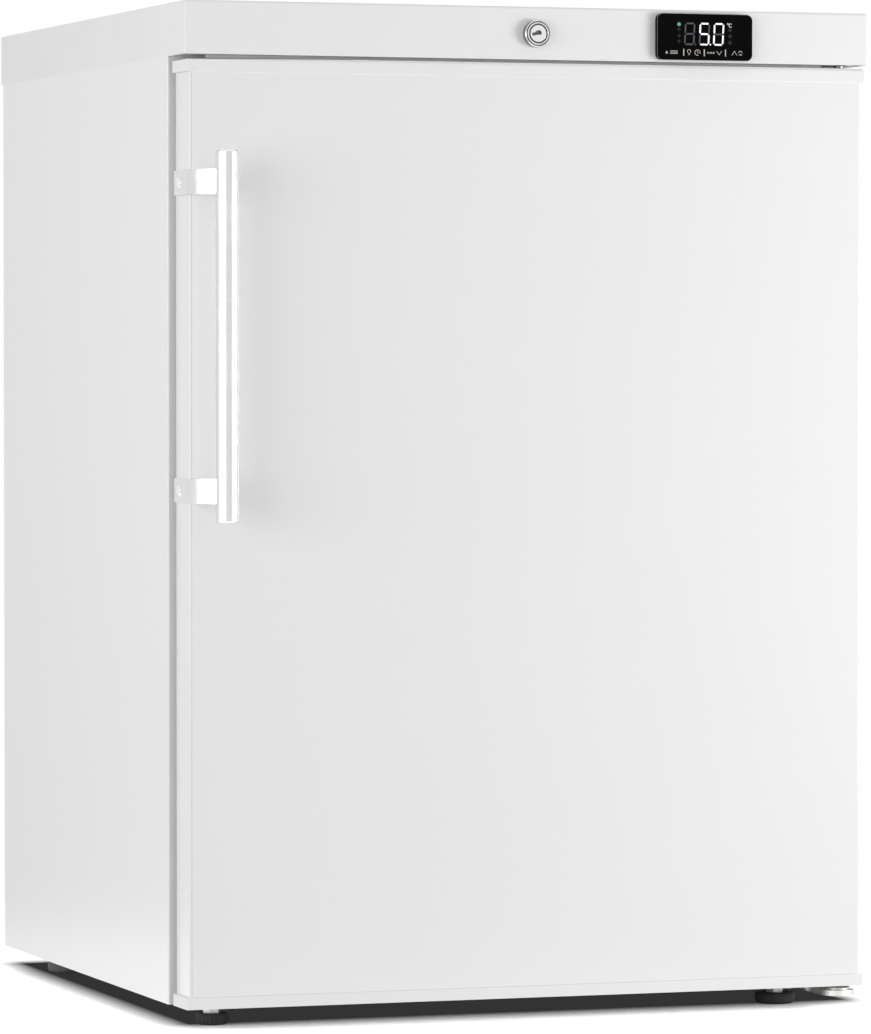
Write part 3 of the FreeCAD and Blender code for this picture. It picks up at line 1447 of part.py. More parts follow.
def evaporation_tray():
    """Open tray on top of the warm compressor, where melt water dries up."""
    body = new_body("drip")
    wide, deep = d.pot_wide * 0.42, d.pot_deep * 0.4
    outline = sketch_on(body, "XY_Plane", pot_high)
    draw_rectangle(outline, (pot_x - wide, pot_x + wide), (bay_middle - deep, bay_middle + deep))
    pad(body, outline, d.drip_tall)
    round_edges(body, d.duct_round, lambda e: runs_along(e, "z"))
    hollow = sketch_on(body, "XY_Plane", pot_high + d.drip_wall)
    wall = d.drip_wall
    draw_rectangle(hollow, (pot_x - wide + wall, pot_x + wide - wall),
                   (bay_middle - deep + wall, bay_middle + deep - wall))
    pocket(body, hollow, d.drip_tall, backwards=True)
    keep(body, "evaporation_tray")


coil_x = d.bay_coil_place + d.bay_coil_wide / 2


def condenser():
    """Finned condenser on the bay floor, in the air way of its fan."""
    keep(finned_coil("warm_coil", d.bay_coil_deep, d.bay_coil_wide, d.bay_coil_tall, coil_x,
                     bay_middle, tray_top, 4, 2, 90), "condenser")


def condenser_fan_pieces():
    """Square fan that draws air through the condenser."""
    middle = tray_top + d.blower / 2
    frame = fan_frame("warm_frame", d.blower, d.blower_deep, d.blower_radius + d.grille_bar,
                      d.blower_radius * 0.42)
    start = d.bay_coil_place - d.blower_deep - d.grille_bar
    place(frame, start, bay_middle, middle, turn=TURNS["X"])
    keep(frame, "condenser_fan_frame")
    wheel = impeller("warm_wheel", d.blower_radius, d.blower_radius * 0.42, 5)
    place(wheel, start + d.blower_deep * WHEEL_SHARE, bay_middle, middle, turn=TURNS["X"])
    keep(wheel, "condenser_fan")


drier_low = tray_top + d.drier_long * 0.4
drier_top = drier_low + d.drier_long


def filter_drier():
    """Copper drier standing in the liquid line."""
    neck = d.line_radius * 1.2
    slope = d.drier_radius
    long = d.drier_long
    keep(turned("drier", [
        (0, 0), (neck, 0), (neck, slope * 0.5), (d.drier_radius, slope * 1.5),
        (d.drier_radius, long - slope * 1.5), (neck, long - slope * 0.5), (neck, long), (0, long),
    ], drier_x, capillary_y - d.drier_radius * 4, drier_low), "filter_drier")


def refrigerant_lines():
    """Discharge, liquid, capillary and suction lines."""
    over = tray_top + d.bay_coil_tall + d.line_radius * 5
    coil_top = tray_top + d.bay_coil_tall
    out_x = pot_x + d.pot_wide / 2
    line_y = bay_middle + d.pot_deep * 0.28
    rise_x = out_x + d.pot_wide * 0.3
    round_end = d.pot_deep * POT_END / 2
    off_centre = line_y - bay_middle - d.pot_deep / 2 + round_end
    seat_x = out_x - round_end + (round_end * round_end - off_centre * off_centre).root()
    bend = d.line_radius.value * 3
    discharge = bent_tube("discharge_line", [
        (seat_x + d.line_radius * 0.65, line_y, pot_low + d.pot_tall * 0.62),
        (rise_x, line_y, pot_low + d.pot_tall * 0.62),
        (rise_x, line_y, over),
        (coil_x, line_y, over),
        (coil_x, line_y, coil_top),
    ], d.line_radius, bend)
    drier_y = capillary_y - d.drier_radius * 4
    liquid = bent_tube("liquid_line", [
        (coil_x, drier_y, coil_top),
        (coil_x, drier_y, over + d.line_radius * 2),
        (drier_x, drier_y, over + d.line_radius * 2),
        (drier_x, drier_y, drier_top),
    ], d.line_radius, bend)
    low = tray_top + d.drier_long * 0.2
    capillary = bent_tube("capillary", [
        (drier_x, drier_y, drier_low),
        (drier_x, drier_y, low),
        (drier_x, capillary_y, low),
        (drier_x, capillary_y, d.coil_low),
    ], d.line_radius / 2, bend)
    suction = bent_tube("suction_line", [
        (suction_x, bay_middle, d.coil_low),
        (suction_x, bay_middle, pot_low + d.pot_tall * 0.66),
        (out_x, bay_middle, pot_low + d.pot_tall * 0.66),
    ], d.line_radius, bend)
    keep(group("all_lines", [discharge, liquid, capillary, suction]), "refrigerant_lines")


inlet_x = half - d.rear_flange - d.inlet_wide * 1.2
inlet_z = tray_top + d.tray_flange + d.inlet_tall


def rear_grille():
    """Louvred cover over the machine bay, cut out for the mains inlet."""
    body = new_body("louvres")
    inner = half - d.rear_flange - d.sheet / 2
    outline = sketch_on(body, "XZ_Plane", -back)
    draw_rectangle(outline, (-inner, inner), (bottom, bay_roof))
    pad(body, outline, d.sheet)
    low = bay_roof - d.bay_tall * 0.62
    count = int((inner.value * 2 - d.face_flange.value * 2) / d.grille_pitch.value)
    start = -d.grille_pitch * ((count - 1) / 2)
    slot = sketch_on(body, "XZ_Plane", -back)
    draw_rectangle(slot, (start - d.grille_slot / 2, start + d.grille_slot / 2),
                   (low, bay_roof - d.face_flange / 2))
    cutter = pocket(body, slot, d.sheet, backwards=True)
    repeat_along(body, cutter, "X_Axis", d.grille_pitch * (count - 1), count)
    window = sketch_on(body, "XZ_Plane", -back)
    lip = d.drip_wall
    draw_rectangle(window, (inlet_x - d.inlet_wide / 2 + lip, inlet_x + d.inlet_wide / 2 - lip),
                   (inlet_z - d.inlet_tall / 2 + lip, inlet_z + d.inlet_tall / 2 - lip))
    body.Tip = pocket(body, window, d.sheet, backwards=True)
    keep(body, "rear_grille")


def mains_inlet():
    """Three-pin inlet for a detachable lead, seated in the rear cover."""
    body = new_body("inlet")
    lip = d.drip_wall
    wide, tall = d.inlet_wide / 2, d.inlet_tall / 2
    flange = sketch_on(body, "XZ_Plane", -back - lip)
    draw_rectangle(flange, (inlet_x - wide, inlet_x + wide), (inlet_z - tall, inlet_z + tall))
    pad(body, flange, lip)
    core = sketch_on(body, "XZ_Plane", -back)
    draw_rectangle(core, (inlet_x - wide + lip, inlet_x + wide - lip),
                   (inlet_z - tall + lip, inlet_z + tall - lip))
    pad(body, core, d.inlet_tall)
    recess = sketch_on(body, "XZ_Plane", -back - lip)
    draw_rectangle(recess, (inlet_x - wide + lip * 2, inlet_x + wide - lip * 2),
                   (inlet_z - tall + lip * 2, inlet_z + tall - lip * 2))
    pocket(body, recess, d.inlet_tall * 0.8, backwards=True)
    pins = [box("inlet_pin", (inlet_x + x - d.sheet, inlet_x + x + d.sheet),
                (back - d.inlet_tall * 0.85, back - d.sheet),
                (inlet_z + z - lip, inlet_z + z + lip))
            for x, z in ((d.inlet_wide * -0.22, size(0)), (size(0), d.inlet_tall * 0.12),
                         (d.inlet_wide * 0.22, size(0)))]
    keep(fuse("inlet_whole", body, *pins), "mains_inlet")


def rear_spacers():
    """Two stand-offs that keep the back clear of a wall."""
    reach = d.spacer_deep
    profile = [(0, 0), (d.spacer_radius, 0), (d.spacer_radius, d.drip_wall),
               (d.spacer_radius * 0.7, d.drip_wall * 2), (d.spacer_radius * 0.55, reach - d.sheet),
               (d.spacer_radius * 0.5, reach), (0, reach)]
    inner = half - d.rear_flange - d.spacer_radius * 2
    spacers = [turned("stand_off", profile, side * inner, back, roof - d.face_flange, "Y")
               for side in (-1, 1)]
    keep(group("stand_offs", spacers), "rear_spacers")


# Assembly

def build():
    side_panel("left_side_panel", -1)
    side_panel("right_side_panel", 1)
    cabinet_top_panel()
    back_panel()
    base_panel()
    insulation()
    inner_liner()
    worktop()
    fascia_base()
    controller_housing()
    touch_panel()
    lock_housing()
    lock_nut()
    lock_plug()
    lock_cam()
    top_hinge_bracket()
    bottom_hinge_bracket()
    hinge_pins()
    hinge_washer()
    hinge_screws()
    door_skin()
    door_cap("door_top_cap", True)
    door_cap("door_bottom_cap", False)
    door_foam()
    door_liner()
    door_gasket()
    handle_bar()
    handle_brackets()
    handle_screws()
    door_plugs()
    door_hinge_bushes()
    for label, (x, y) in foot_places.items():
        foot(label, x, y, label == "front_left_foot")
    foot_nuts()
    foot_inserts()
    for label, level in zip(("lower_shelf", "middle_shelf", "upper_shelf"), shelf_heights()):
        wire_shelf(label, level)
    evaporator_cover()
    evaporator()
    evaporator_fan_pieces()
    interior_light()
    temperature_probe()
    drain_tube()
    compressor_tray()
    compressor()
    compressor_mounts()
    compressor_terminal_box()
    evaporation_tray()
    condenser()
    condenser_fan_pieces()
    filter_drier()
    refrigerant_lines()
    rear_grille()
    mains_inlet()
    rear_spacers()
    doc.recompute()


def check():
    """Stops with a plain message if any feature failed or any piece isn't a sound solid."""
    for thing in doc.Objects:
        if "Invalid" in thing.State or "Error" in thing.State:
            raise RuntimeError(f"{thing.Name} ({thing.Label}) failed: {thing.State}")
    for piece in PIECES:
        if piece.Shape.isNull() or not piece.Shape.isValid() or not piece.Shape.Solids:
            raise RuntimeError(f"{piece.Label} has no valid solid")


def write():
    os.makedirs("parts", exist_ok=True)
    for piece in PIECES:
        piece.Shape.exportStep(f"parts/{piece.Label}.step")


build()
check()
write()
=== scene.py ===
"""Looks of the undercounter medical refrigerator: finishes, fine pieces, studio and camera.

X runs to the right, the door faces -Y and Z is up from the floor, in metres.
"""

import json
import logging
import math
from dataclasses import dataclass
from enum import Enum
from typing import Protocol, Sequence

import bmesh
import bpy
from mathutils import Matrix, Vector


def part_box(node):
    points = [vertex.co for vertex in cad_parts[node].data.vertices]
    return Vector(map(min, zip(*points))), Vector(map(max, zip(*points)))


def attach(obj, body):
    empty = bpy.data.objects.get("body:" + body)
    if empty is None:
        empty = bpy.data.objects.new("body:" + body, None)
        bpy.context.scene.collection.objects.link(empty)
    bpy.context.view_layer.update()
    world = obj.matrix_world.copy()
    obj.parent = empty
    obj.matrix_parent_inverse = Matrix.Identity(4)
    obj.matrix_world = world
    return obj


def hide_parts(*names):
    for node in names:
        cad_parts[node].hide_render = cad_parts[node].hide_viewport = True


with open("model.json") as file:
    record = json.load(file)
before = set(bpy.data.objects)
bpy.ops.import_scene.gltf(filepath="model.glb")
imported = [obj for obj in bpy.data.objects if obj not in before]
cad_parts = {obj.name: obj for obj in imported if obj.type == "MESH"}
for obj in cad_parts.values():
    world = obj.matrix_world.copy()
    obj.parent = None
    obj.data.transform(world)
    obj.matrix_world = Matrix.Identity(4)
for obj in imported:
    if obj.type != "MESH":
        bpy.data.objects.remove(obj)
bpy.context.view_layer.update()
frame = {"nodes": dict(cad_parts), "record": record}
log = logging.getLogger("refrigerator")
MM = 0.001
Point = tuple[float, float, float]
Spot = tuple[float, float]
Colour = tuple[float, float, float]


def rgba(colour: Colour) -> tuple[float, float, float, float]:
    """The colour with full cover."""
    return (*colour, 1.0)


class Graph:
    """A node tree that is filled through one method."""

    def __init__(self, tree: bpy.types.NodeTree) -> None:
        """Keep the tree.

        Args:
            tree: the node tree to fill.
        """
        self.tree = tree

    def node(self, kind: str, settings: dict | None = None,
             values: dict | None = None) -> bpy.types.Node:
        """Add one node.

        Args:
            kind: the node's type name.
            settings: properties to set first; "stops" gives a ramp's places and colours.
            values: values or links by the socket's name or number.

        Returns:
            The new node.
        """
        made = self.tree.nodes.new(kind)
        for name, value in (settings or {}).items():
            if name == "stops":
                self.set_stops(made.color_ramp, value)
            else:
                setattr(made, name, value)
        for socket, value in (values or {}).items():
            self.feed(made.inputs[socket], value)
        return made

    @staticmethod
    def set_stops(ramp: bpy.types.ColorRamp, stops: Sequence[tuple[float, Colour]]) -> None:
        """Give a colour ramp its stops.

        Args:
            ramp: the ramp.
            stops: place and colour of each stop, in order.
        """
        while len(ramp.elements) < len(stops):
            ramp.elements.new(1.0)
        for element, (place, colour) in zip(ramp.elements, stops):
            element.position = place
            element.color = rgba(colour)

    def feed(self, socket: bpy.types.NodeSocket, value: object) -> None:
        """Link a socket, or set its value.

        Args:
            socket: the input.
            value: a Wire, an output socket or a plain value.
        """
        if isinstance(value, Wire):
            value = value.socket
        if isinstance(value, bpy.types.NodeSocket):
            self.tree.links.new(value, socket)
        elif hasattr(socket, "default_value") and socket.type == "RGBA" and len(value) == 3:
            socket.default_value = rgba(value)
        else:
            socket.default_value = value

    def maths(self, operation: str, *values: object) -> "Wire":
        """One Math node on numbers or wires.

        Args:
            operation: the Math node's operation.
            values: its inputs in order.

        Returns:
            The result.
        """
        made = self.node("ShaderNodeMath", {"operation": operation}, dict(enumerate(values)))
        return Wire(self, made.outputs[0])


class Wire:
    """An output socket that sums can be written on."""

    def __init__(self, graph: Graph, socket: bpy.types.NodeSocket) -> None:
        """Keep the graph and the socket.

        Args:
            graph: the graph that the socket belongs to.
            socket: the output socket.
        """
        self.graph = graph
        self.socket = socket

    def __add__(self, other: object) -> "Wire":
        """Sum."""
        return self.graph.maths("ADD", self, other)

    __radd__ = __add__

    def __sub__(self, other: object) -> "Wire":
        """Difference."""
        return self.graph.maths("SUBTRACT", self, other)

    def __rsub__(self, other: object) -> "Wire":
        """Difference the other way round."""
        return self.graph.maths("SUBTRACT", other, self)

    def __mul__(self, other: object) -> "Wire":
        """Product."""
        return self.graph.maths("MULTIPLY", self, other)

    __rmul__ = __mul__

    def spread(self, low: float, high: float, to_low: float = 0.0,
               to_high: float = 1.0) -> "Wire":
        """The wire's range from low to high, mapped and clipped.

        Args:
            low: value that maps to to_low.
            high: value that maps to to_high.
            to_low: result at low.
            to_high: result at high.

        Returns:
            The mapped wire.
        """
        made = self.graph.node("ShaderNodeMapRange", {"clamp": True}, {
            "Value": self, "From Min": low, "From Max": high,
            "To Min": to_low, "To Max": to_high})
        return Wire(self.graph, made.outputs["Result"])


class Shader(Graph):
    """A material's node tree with the patterns that the finishes share."""

    def __init__(self, name: str) -> None:
        """Start an empty material.

        Args:
            name: the material's name.
        """
        self.material = bpy.data.materials.new(name)
        self.material.use_nodes = True
        super().__init__(self.material.node_tree)
        self.tree.nodes.clear()
        self.place = self.node("ShaderNodeTexCoord").outputs["Object"]

    def stretched(self, scale: Point) -> bpy.types.NodeSocket:
        """Object coordinates scaled along each axis."""
        return self.node("ShaderNodeMapping", None, {
            "Vector": self.place, "Scale": scale}).outputs["Vector"]

    def noise(self, scale: float, detail: float = 2.0, rough: float = 0.5,
              stretch: Point = (1, 1, 1)) -> Wire:
        """Cloudy pattern.

        Args:
            scale: features per metre.
            detail: octaves.
            rough: weight of the finer octaves.
            stretch: scale along each axis on top of the first.

        Returns:
            A value from 0 to 1.
        """
        made = self.node("ShaderNodeTexNoise", None, {
            "Vector": self.stretched(stretch), "Scale": scale, "Detail": detail,
            "Roughness": rough})
        return Wire(self, made.outputs["Fac"])

    def cells(self, scale: float, output: str = "Distance") -> Wire:
        """Voronoi pattern of one scale."""
        made = self.node("ShaderNodeTexVoronoi", None, {"Vector": self.place, "Scale": scale})
        return Wire(self, made.outputs[output])

    def between(self, mask: Wire, first: object, second: object) -> bpy.types.NodeSocket:
        """Colour mix of two colours or wires by a mask.

        Args:
            mask: 0 gives the first, 1 the second.
            first: colour at 0.
            second: colour at 1.

        Returns:
            The mixed colour's socket.
        """
        made = self.node("ShaderNodeMix", {"data_type": "RGBA"}, {0: mask, 6: first, 7: second})
        return made.outputs[2]

    def bump(self, height: Wire, depth: float, strength: float = 1.0) -> bpy.types.NodeSocket:
        """Normal from a height pattern.

        Args:
            height: the pattern.
            depth: its depth in metres.
            strength: share of the effect.

        Returns:
            The normal's socket.
        """
        made = self.node("ShaderNodeBump", None, {
            "Height": height, "Distance": depth, "Strength": strength})
        return made.outputs["Normal"]

    def close(self, values: dict) -> bpy.types.Material:
        """Add the surface shader and the output.

        Args:
            values: values or links of the Principled shader's sockets.

        Returns:
            The finished material.
        """
        body = self.node("ShaderNodeBsdfPrincipled", None, values)
        self.node("ShaderNodeOutputMaterial", None, {"Surface": body.outputs[0]})
        return self.material


def shade(colour: Colour, share: float) -> Colour:
    """The colour made darker or lighter by a share."""
    return tuple(min(1.0, part * share) for part in colour)


@dataclass(frozen=True)
class Enamel:
    """Smooth stoved or powder-coated paint on sheet metal."""

    name: str
    colour: Colour
    rough: float = 0.34
    peel: float = 0.00003
    peel_scale: float = 420.0
    coat: float = 0.25

    def dress(self) -> bpy.types.Material:
        """Build the material.

        Returns:
            The material.
        """
        s = Shader(self.name)
        cloud = s.noise(3.0, 3.0)
        fine = s.noise(1400.0, 2.0)
        peel = s.noise(self.peel_scale, 2.0, 0.45)
        dust = s.noise(60.0, 4.0, 0.6).spread(0.62, 0.8)
        tone = s.between(cloud, shade(self.colour, 0.985), shade(self.colour, 1.012))
        tone = s.between(dust * 0.03, tone, shade(self.colour, 0.8))
        return s.close({
            "Base Color": tone,
            "Roughness": cloud * 0.05 + fine * 0.03 + (self.rough - 0.04),
            "Coat Weight": self.coat, "Coat Roughness": 0.12,
            "Normal": s.bump(peel + fine * 0.15, self.peel)})


@dataclass(frozen=True)
class Moulding:
    """Injection-moulded plastic with a fine spark-eroded grain."""

    name: str
    colour: Colour
    rough: float = 0.45
    grain: float = 0.00003
    grain_scale: float = 1500.0

    def dress(self) -> bpy.types.Material:
        """Build the material.

        Returns:
            The material.
        """
        s = Shader(self.name)
        grain = s.noise(self.grain_scale, 2.0, 0.6)
        cloud = s.noise(9.0, 3.0)
        rubbed = s.noise(28.0, 4.0, 0.65).spread(0.5, 0.78)
        tone = s.between(cloud, shade(self.colour, 0.975), shade(self.colour, 1.02))
        tone = s.between(grain * 0.18, tone, shade(self.colour, 0.86))
        return s.close({
            "Base Color": tone,
            "Roughness": self.rough + grain * 0.06 - rubbed * 0.07,
            "Normal": s.bump(grain, self.grain)})


@dataclass(frozen=True)
class FormedSheet:
    """Glossy vacuum-formed plastic sheet, with the soft waves that forming leaves."""

    name: str
    colour: Colour
    rough: float = 0.2

    def dress(self) -> bpy.types.Material:
        """Build the material.

        Returns:
            The material.
        """
        s = Shader(self.name)
        wave = s.noise(14.0, 2.0, 0.4)
        fine = s.noise(900.0, 2.0)
        tone = s.between(wave, shade(self.colour, 0.97), shade(self.colour, 1.02))
        return s.close({
            "Base Color": tone,
            "Roughness": self.rough + fine * 0.05 + wave * 0.05,
            "Coat Weight": 0.2, "Coat Roughness": 0.08,
            "Normal": s.bump(wave + fine * 0.02, 0.0006, 0.6)})


@dataclass(frozen=True)
class Metal:
    """Plain, plated or brushed metal; grain gives the length of its fine lines per axis."""

    name: str
    colour: Colour
    rough: float = 0.3
    grain: Point = (1, 1, 1)
    grain_scale: float = 900.0
    lines: float = 0.00001
    stain: Colour | None = None

    def dress(self) -> bpy.types.Material:
        """Build the material.

        Returns:
            The material.
        """
        s = Shader(self.name)
        lines = s.noise(self.grain_scale, 2.0, 0.5, self.grain)
        cloud = s.noise(35.0, 4.0, 0.6)
        tone = s.between(cloud, shade(self.colour, 0.93), shade(self.colour, 1.04))
        if self.stain:
            patch = s.noise(70.0, 5.0, 0.65).spread(0.52, 0.75)
            tone = s.between(patch * 0.7, tone, self.stain)
        return s.close({
            "Base Color": tone, "Metallic": 1.0,
            "Roughness": self.rough + lines * 0.08 + cloud.spread(0.4, 0.75, 0.0, 0.1) - 0.05,
            "Normal": s.bump(lines, self.lines)})


@dataclass(frozen=True)
class Spangle:
    """Hot-dip zinc on sheet steel, with its crystals."""

    name: str
    colour: Colour
    crystal: float = 140.0

    def dress(self) -> bpy.types.Material:
        """Build the material.

        Returns:
            The material.
        """
        s = Shader(self.name)
        grey = s.node("ShaderNodeSeparateColor", None, {0: s.cells(self.crystal, "Color")})
        facet = Wire(s, grey.outputs[0])
        streak = s.noise(500.0, 2.0, 0.5, (1, 1, 0.12))
        tone = s.between(facet, shade(self.colour, 0.86), shade(self.colour, 1.05))
        return s.close({
            "Base Color": tone, "Metallic": 0.9,
            "Roughness": facet * 0.16 + streak * 0.08 + 0.3,
            "Normal": s.bump(facet * 0.4 + streak * 0.3, 0.00003)})


@dataclass(frozen=True)
class Rubber:
    """Soft moulded rubber or seal, slightly dusty on top of its grain."""

    name: str
    colour: Colour
    rough: float = 0.62

    def dress(self) -> bpy.types.Material:
        """Build the material.

        Returns:
            The material.
        """
        s = Shader(self.name)
        grain = s.noise(1100.0, 3.0, 0.6)
        dust = s.noise(45.0, 5.0, 0.65).spread(0.5, 0.8)
        tone = s.between(dust * 0.35, self.colour, shade(self.colour, 2.2))
        return s.close({
            "Base Color": tone, "Roughness": self.rough + grain * 0.14 + dust * 0.1,
            "Normal": s.bump(grain, 0.00006)})


@dataclass(frozen=True)
class Foam:
    """Rigid foam with its cells and a slightly darker skin."""

    name: str
    colour: Colour

    def dress(self) -> bpy.types.Material:
        """Build the material.

        Returns:
            The material.
        """
        s = Shader(self.name)
        cell = s.cells(900.0)
        blot = s.noise(25.0, 5.0, 0.6)
        tone = s.between(blot, shade(self.colour, 0.82), shade(self.colour, 1.08))
        return s.close({
            "Base Color": tone, "Roughness": cell * 0.1 + 0.82,
            "Normal": s.bump(cell + blot * 2.0, 0.0005, 0.8)})


@dataclass(frozen=True)
class BlackGlass:
    """Glossy black front of the controller, with faint wipe marks."""

    name: str
    colour: Colour

    def dress(self) -> bpy.types.Material:
        """Build the material.

        Returns:
            The material.
        """
        s = Shader(self.name)
        wipe = s.noise(40.0, 4.0, 0.6, (1, 1, 0.35)).spread(0.45, 0.8)
        tone = s.between(wipe, self.colour, shade(self.colour, 1.5))
        return s.close({
            "Base Color": tone, "Roughness": wipe * 0.1 + 0.1,
            "IOR": 1.06, "Normal": s.bump(wipe, 0.00001, 0.3)})


@dataclass(frozen=True)
class Glow:
    """A lit mark, a printed mark with a painted glow, a painted highlight line, or a lamp's opal
    lens.
    """

    name: str
    colour: Colour
    light: Colour
    strength: float
    rough: float = 0.4

    def dress(self) -> bpy.types.Material:
        """Build the material.

        Returns:
            The material.
        """
        s = Shader(self.name)
        speck = s.noise(2200.0, 2.0)
        tone = s.between(speck, shade(self.colour, 0.94), shade(self.colour, 1.04))
        lit = s.between(speck, shade(self.light, 0.97), self.light)
        return s.close({
            "Base Color": tone, "Roughness": speck * 0.1 + self.rough,
            "Emission Color": lit, "Emission Strength": self.strength,
            "Normal": s.bump(speck, 0.00001, 0.4)})


class Slot(Enum):
    """The record's material slots, by their names there."""

    ENAMEL = "white_enamel"
    WHITE_MOULDING = "white_moulding"
    LINER = "liner_plastic"
    FOAM = "foam"
    SEAL = "seal_rubber"
    GALVANISED = "galvanised_steel"
    ZINC = "zinc_steel"
    ALUMINIUM = "anodised_aluminium"
    CHROME = "polished_chrome"
    LOCK_STEEL = "lock_steel"
    GLASS = "black_glass"
    BLACK_PLASTIC = "black_plastic"
    BLACK_RUBBER = "black_rubber"
    WIRE = "coated_wire"
    COIL = "coil_aluminium"
    LENS = "light_lens"
    POT = "black_enamel"
    COPPER = "copper"


FINISHES = {
    Slot.ENAMEL: Enamel("white_enamel", (0.79, 0.79, 0.79)),
    Slot.WHITE_MOULDING: Moulding("white_moulding", (0.80, 0.80, 0.80)),
    Slot.LINER: FormedSheet("liner_plastic", (0.83, 0.84, 0.85)),
    Slot.FOAM: Foam("foam", (0.80, 0.70, 0.42)),
    Slot.SEAL: Rubber("seal_rubber", (0.60, 0.60, 0.60), 0.5),
    Slot.GALVANISED: Spangle("galvanised_steel", (0.60, 0.61, 0.63)),
    Slot.ZINC: Metal("zinc_steel", (0.50, 0.49, 0.47), 0.38, stain=(0.30, 0.30, 0.30)),
    Slot.ALUMINIUM: Metal("anodised_aluminium", (0.70, 0.70, 0.70), 0.25, (1, 1, 0.02)),
    Slot.CHROME: Metal("polished_chrome", (0.80, 0.80, 0.80), 0.12, lines=0.000002),
    Slot.LOCK_STEEL: Metal("lock_steel", (0.55, 0.55, 0.54), 0.35, (1, 0.1, 1)),
    Slot.GLASS: BlackGlass("black_glass", (0.003, 0.0032, 0.0036)),
    Slot.BLACK_PLASTIC: Moulding("black_plastic", (0.022, 0.022, 0.024), 0.48, 0.00008, 700.0),
    Slot.BLACK_RUBBER: Rubber("black_rubber", (0.02, 0.02, 0.021)),
    Slot.WIRE: Enamel("coated_wire", (0.80, 0.81, 0.82), 0.28, 0.00006, 260.0, 0.4),
    Slot.COIL: Metal("coil_aluminium", (0.74, 0.75, 0.76), 0.34, (1, 1, 0.1)),
    Slot.LENS: Glow("light_lens", (0.85, 0.86, 0.87), (1.0, 0.99, 0.96), 0.35, 0.3),
    Slot.POT: Enamel("black_enamel", (0.014, 0.014, 0.016), 0.36, 0.0002, 300.0, 0.2),
    Slot.COPPER: Metal("copper", (0.83, 0.43, 0.27), 0.24, stain=(0.42, 0.20, 0.13)),
}

GREY_RUBBER = Rubber("grey_rubber", (0.11, 0.11, 0.112))
# Darker copy of the chrome for the lock flange's rim: a painted dark reflection.
LOCK_RIM_PAINTED_REFLECTION = Metal("lock_rim_side", (0.34, 0.34, 0.34), 0.3)
# Near-black metal on the floors of the lock's grooves and keyway: painted shade.
LOCK_GROOVE_PAINTED_SHADE = Metal("lock_groove", (0.10, 0.10, 0.10), 0.45)
# Pale line at the door's upper seam: a painted highlight.
SEAM_PAINTED_HIGHLIGHT = Moulding("seam_bright", (0.92, 0.92, 0.92))
# Grey lines at the door's lower seam and fold: painted shade.
SEAM_PAINTED_SHADE = Moulding("seam_shaded", (0.60, 0.60, 0.60))
FIGURE_LIT = Glow("figure_lit", (0.5, 0.5, 0.5), (1.0, 1.0, 1.0), 0.8)
FIGURE_UNLIT = Glow("figure_unlit", (0.015, 0.015, 0.02), (0.022, 0.022, 0.031), 1.0)
# Print colour of the key symbols with a painted glow on top.
KEY_PRINT_PAINTED_GLOW = Glow("key_print", (0.42, 0.39, 0.34), (0.42, 0.39, 0.34), 0.2)
UNIT_LIT = Glow("unit_lit", (0.3, 0.28, 0.28), (0.75, 0.70, 0.70), 0.6)
LAMP_GREEN = Glow("lamp_green", (0.02, 0.07, 0.04), (0.07, 0.31, 0.165), 0.9)
LAMP_UNLIT = Glow("lamp_unlit", (0.014, 0.014, 0.016), (0.016, 0.016, 0.018), 0.4)
# Pale line round the controller's glass: a painted highlight of its edge, with a faint painted
# glow.
GLASS_EDGE_HIGHLIGHT = Glow("trim_line", (0.38, 0.35, 0.30), (0.38, 0.35, 0.30), 0.02)
LIGHT_SOURCE = Glow("light_source", (0.95, 0.95, 0.9), (1.0, 0.98, 0.92), 1.5)


class Finish(Protocol):
    """What every finish has: a name, and a way to build its material."""

    name: str

    def dress(self) -> bpy.types.Material:
        """Build the material.

        Returns:
            The material.
        """


class Paintbox:
    """Makes each finish once and hands out its material."""

    def __init__(self) -> None:
        """Start with nothing made."""
        self.made: dict[str, bpy.types.Material] = {}

    def of(self, finish: Finish) -> bpy.types.Material:
        """The material of a finish, made on its first use.

        Args:
            finish: the finish.

        Returns:
            Its material.
        """
        if finish.name not in self.made:
            self.made[finish.name] = finish.dress()
        return self.made[finish.name]

    def slot(self, slot: Slot) -> bpy.types.Material:
        """The material of one of the record's slots."""
        return self.of(FINISHES[slot])


PAINTS = Paintbox()


class Axis(Enum):
    """The direction that a turned shape stands along."""

    Y = "Y"
    Z = "Z"


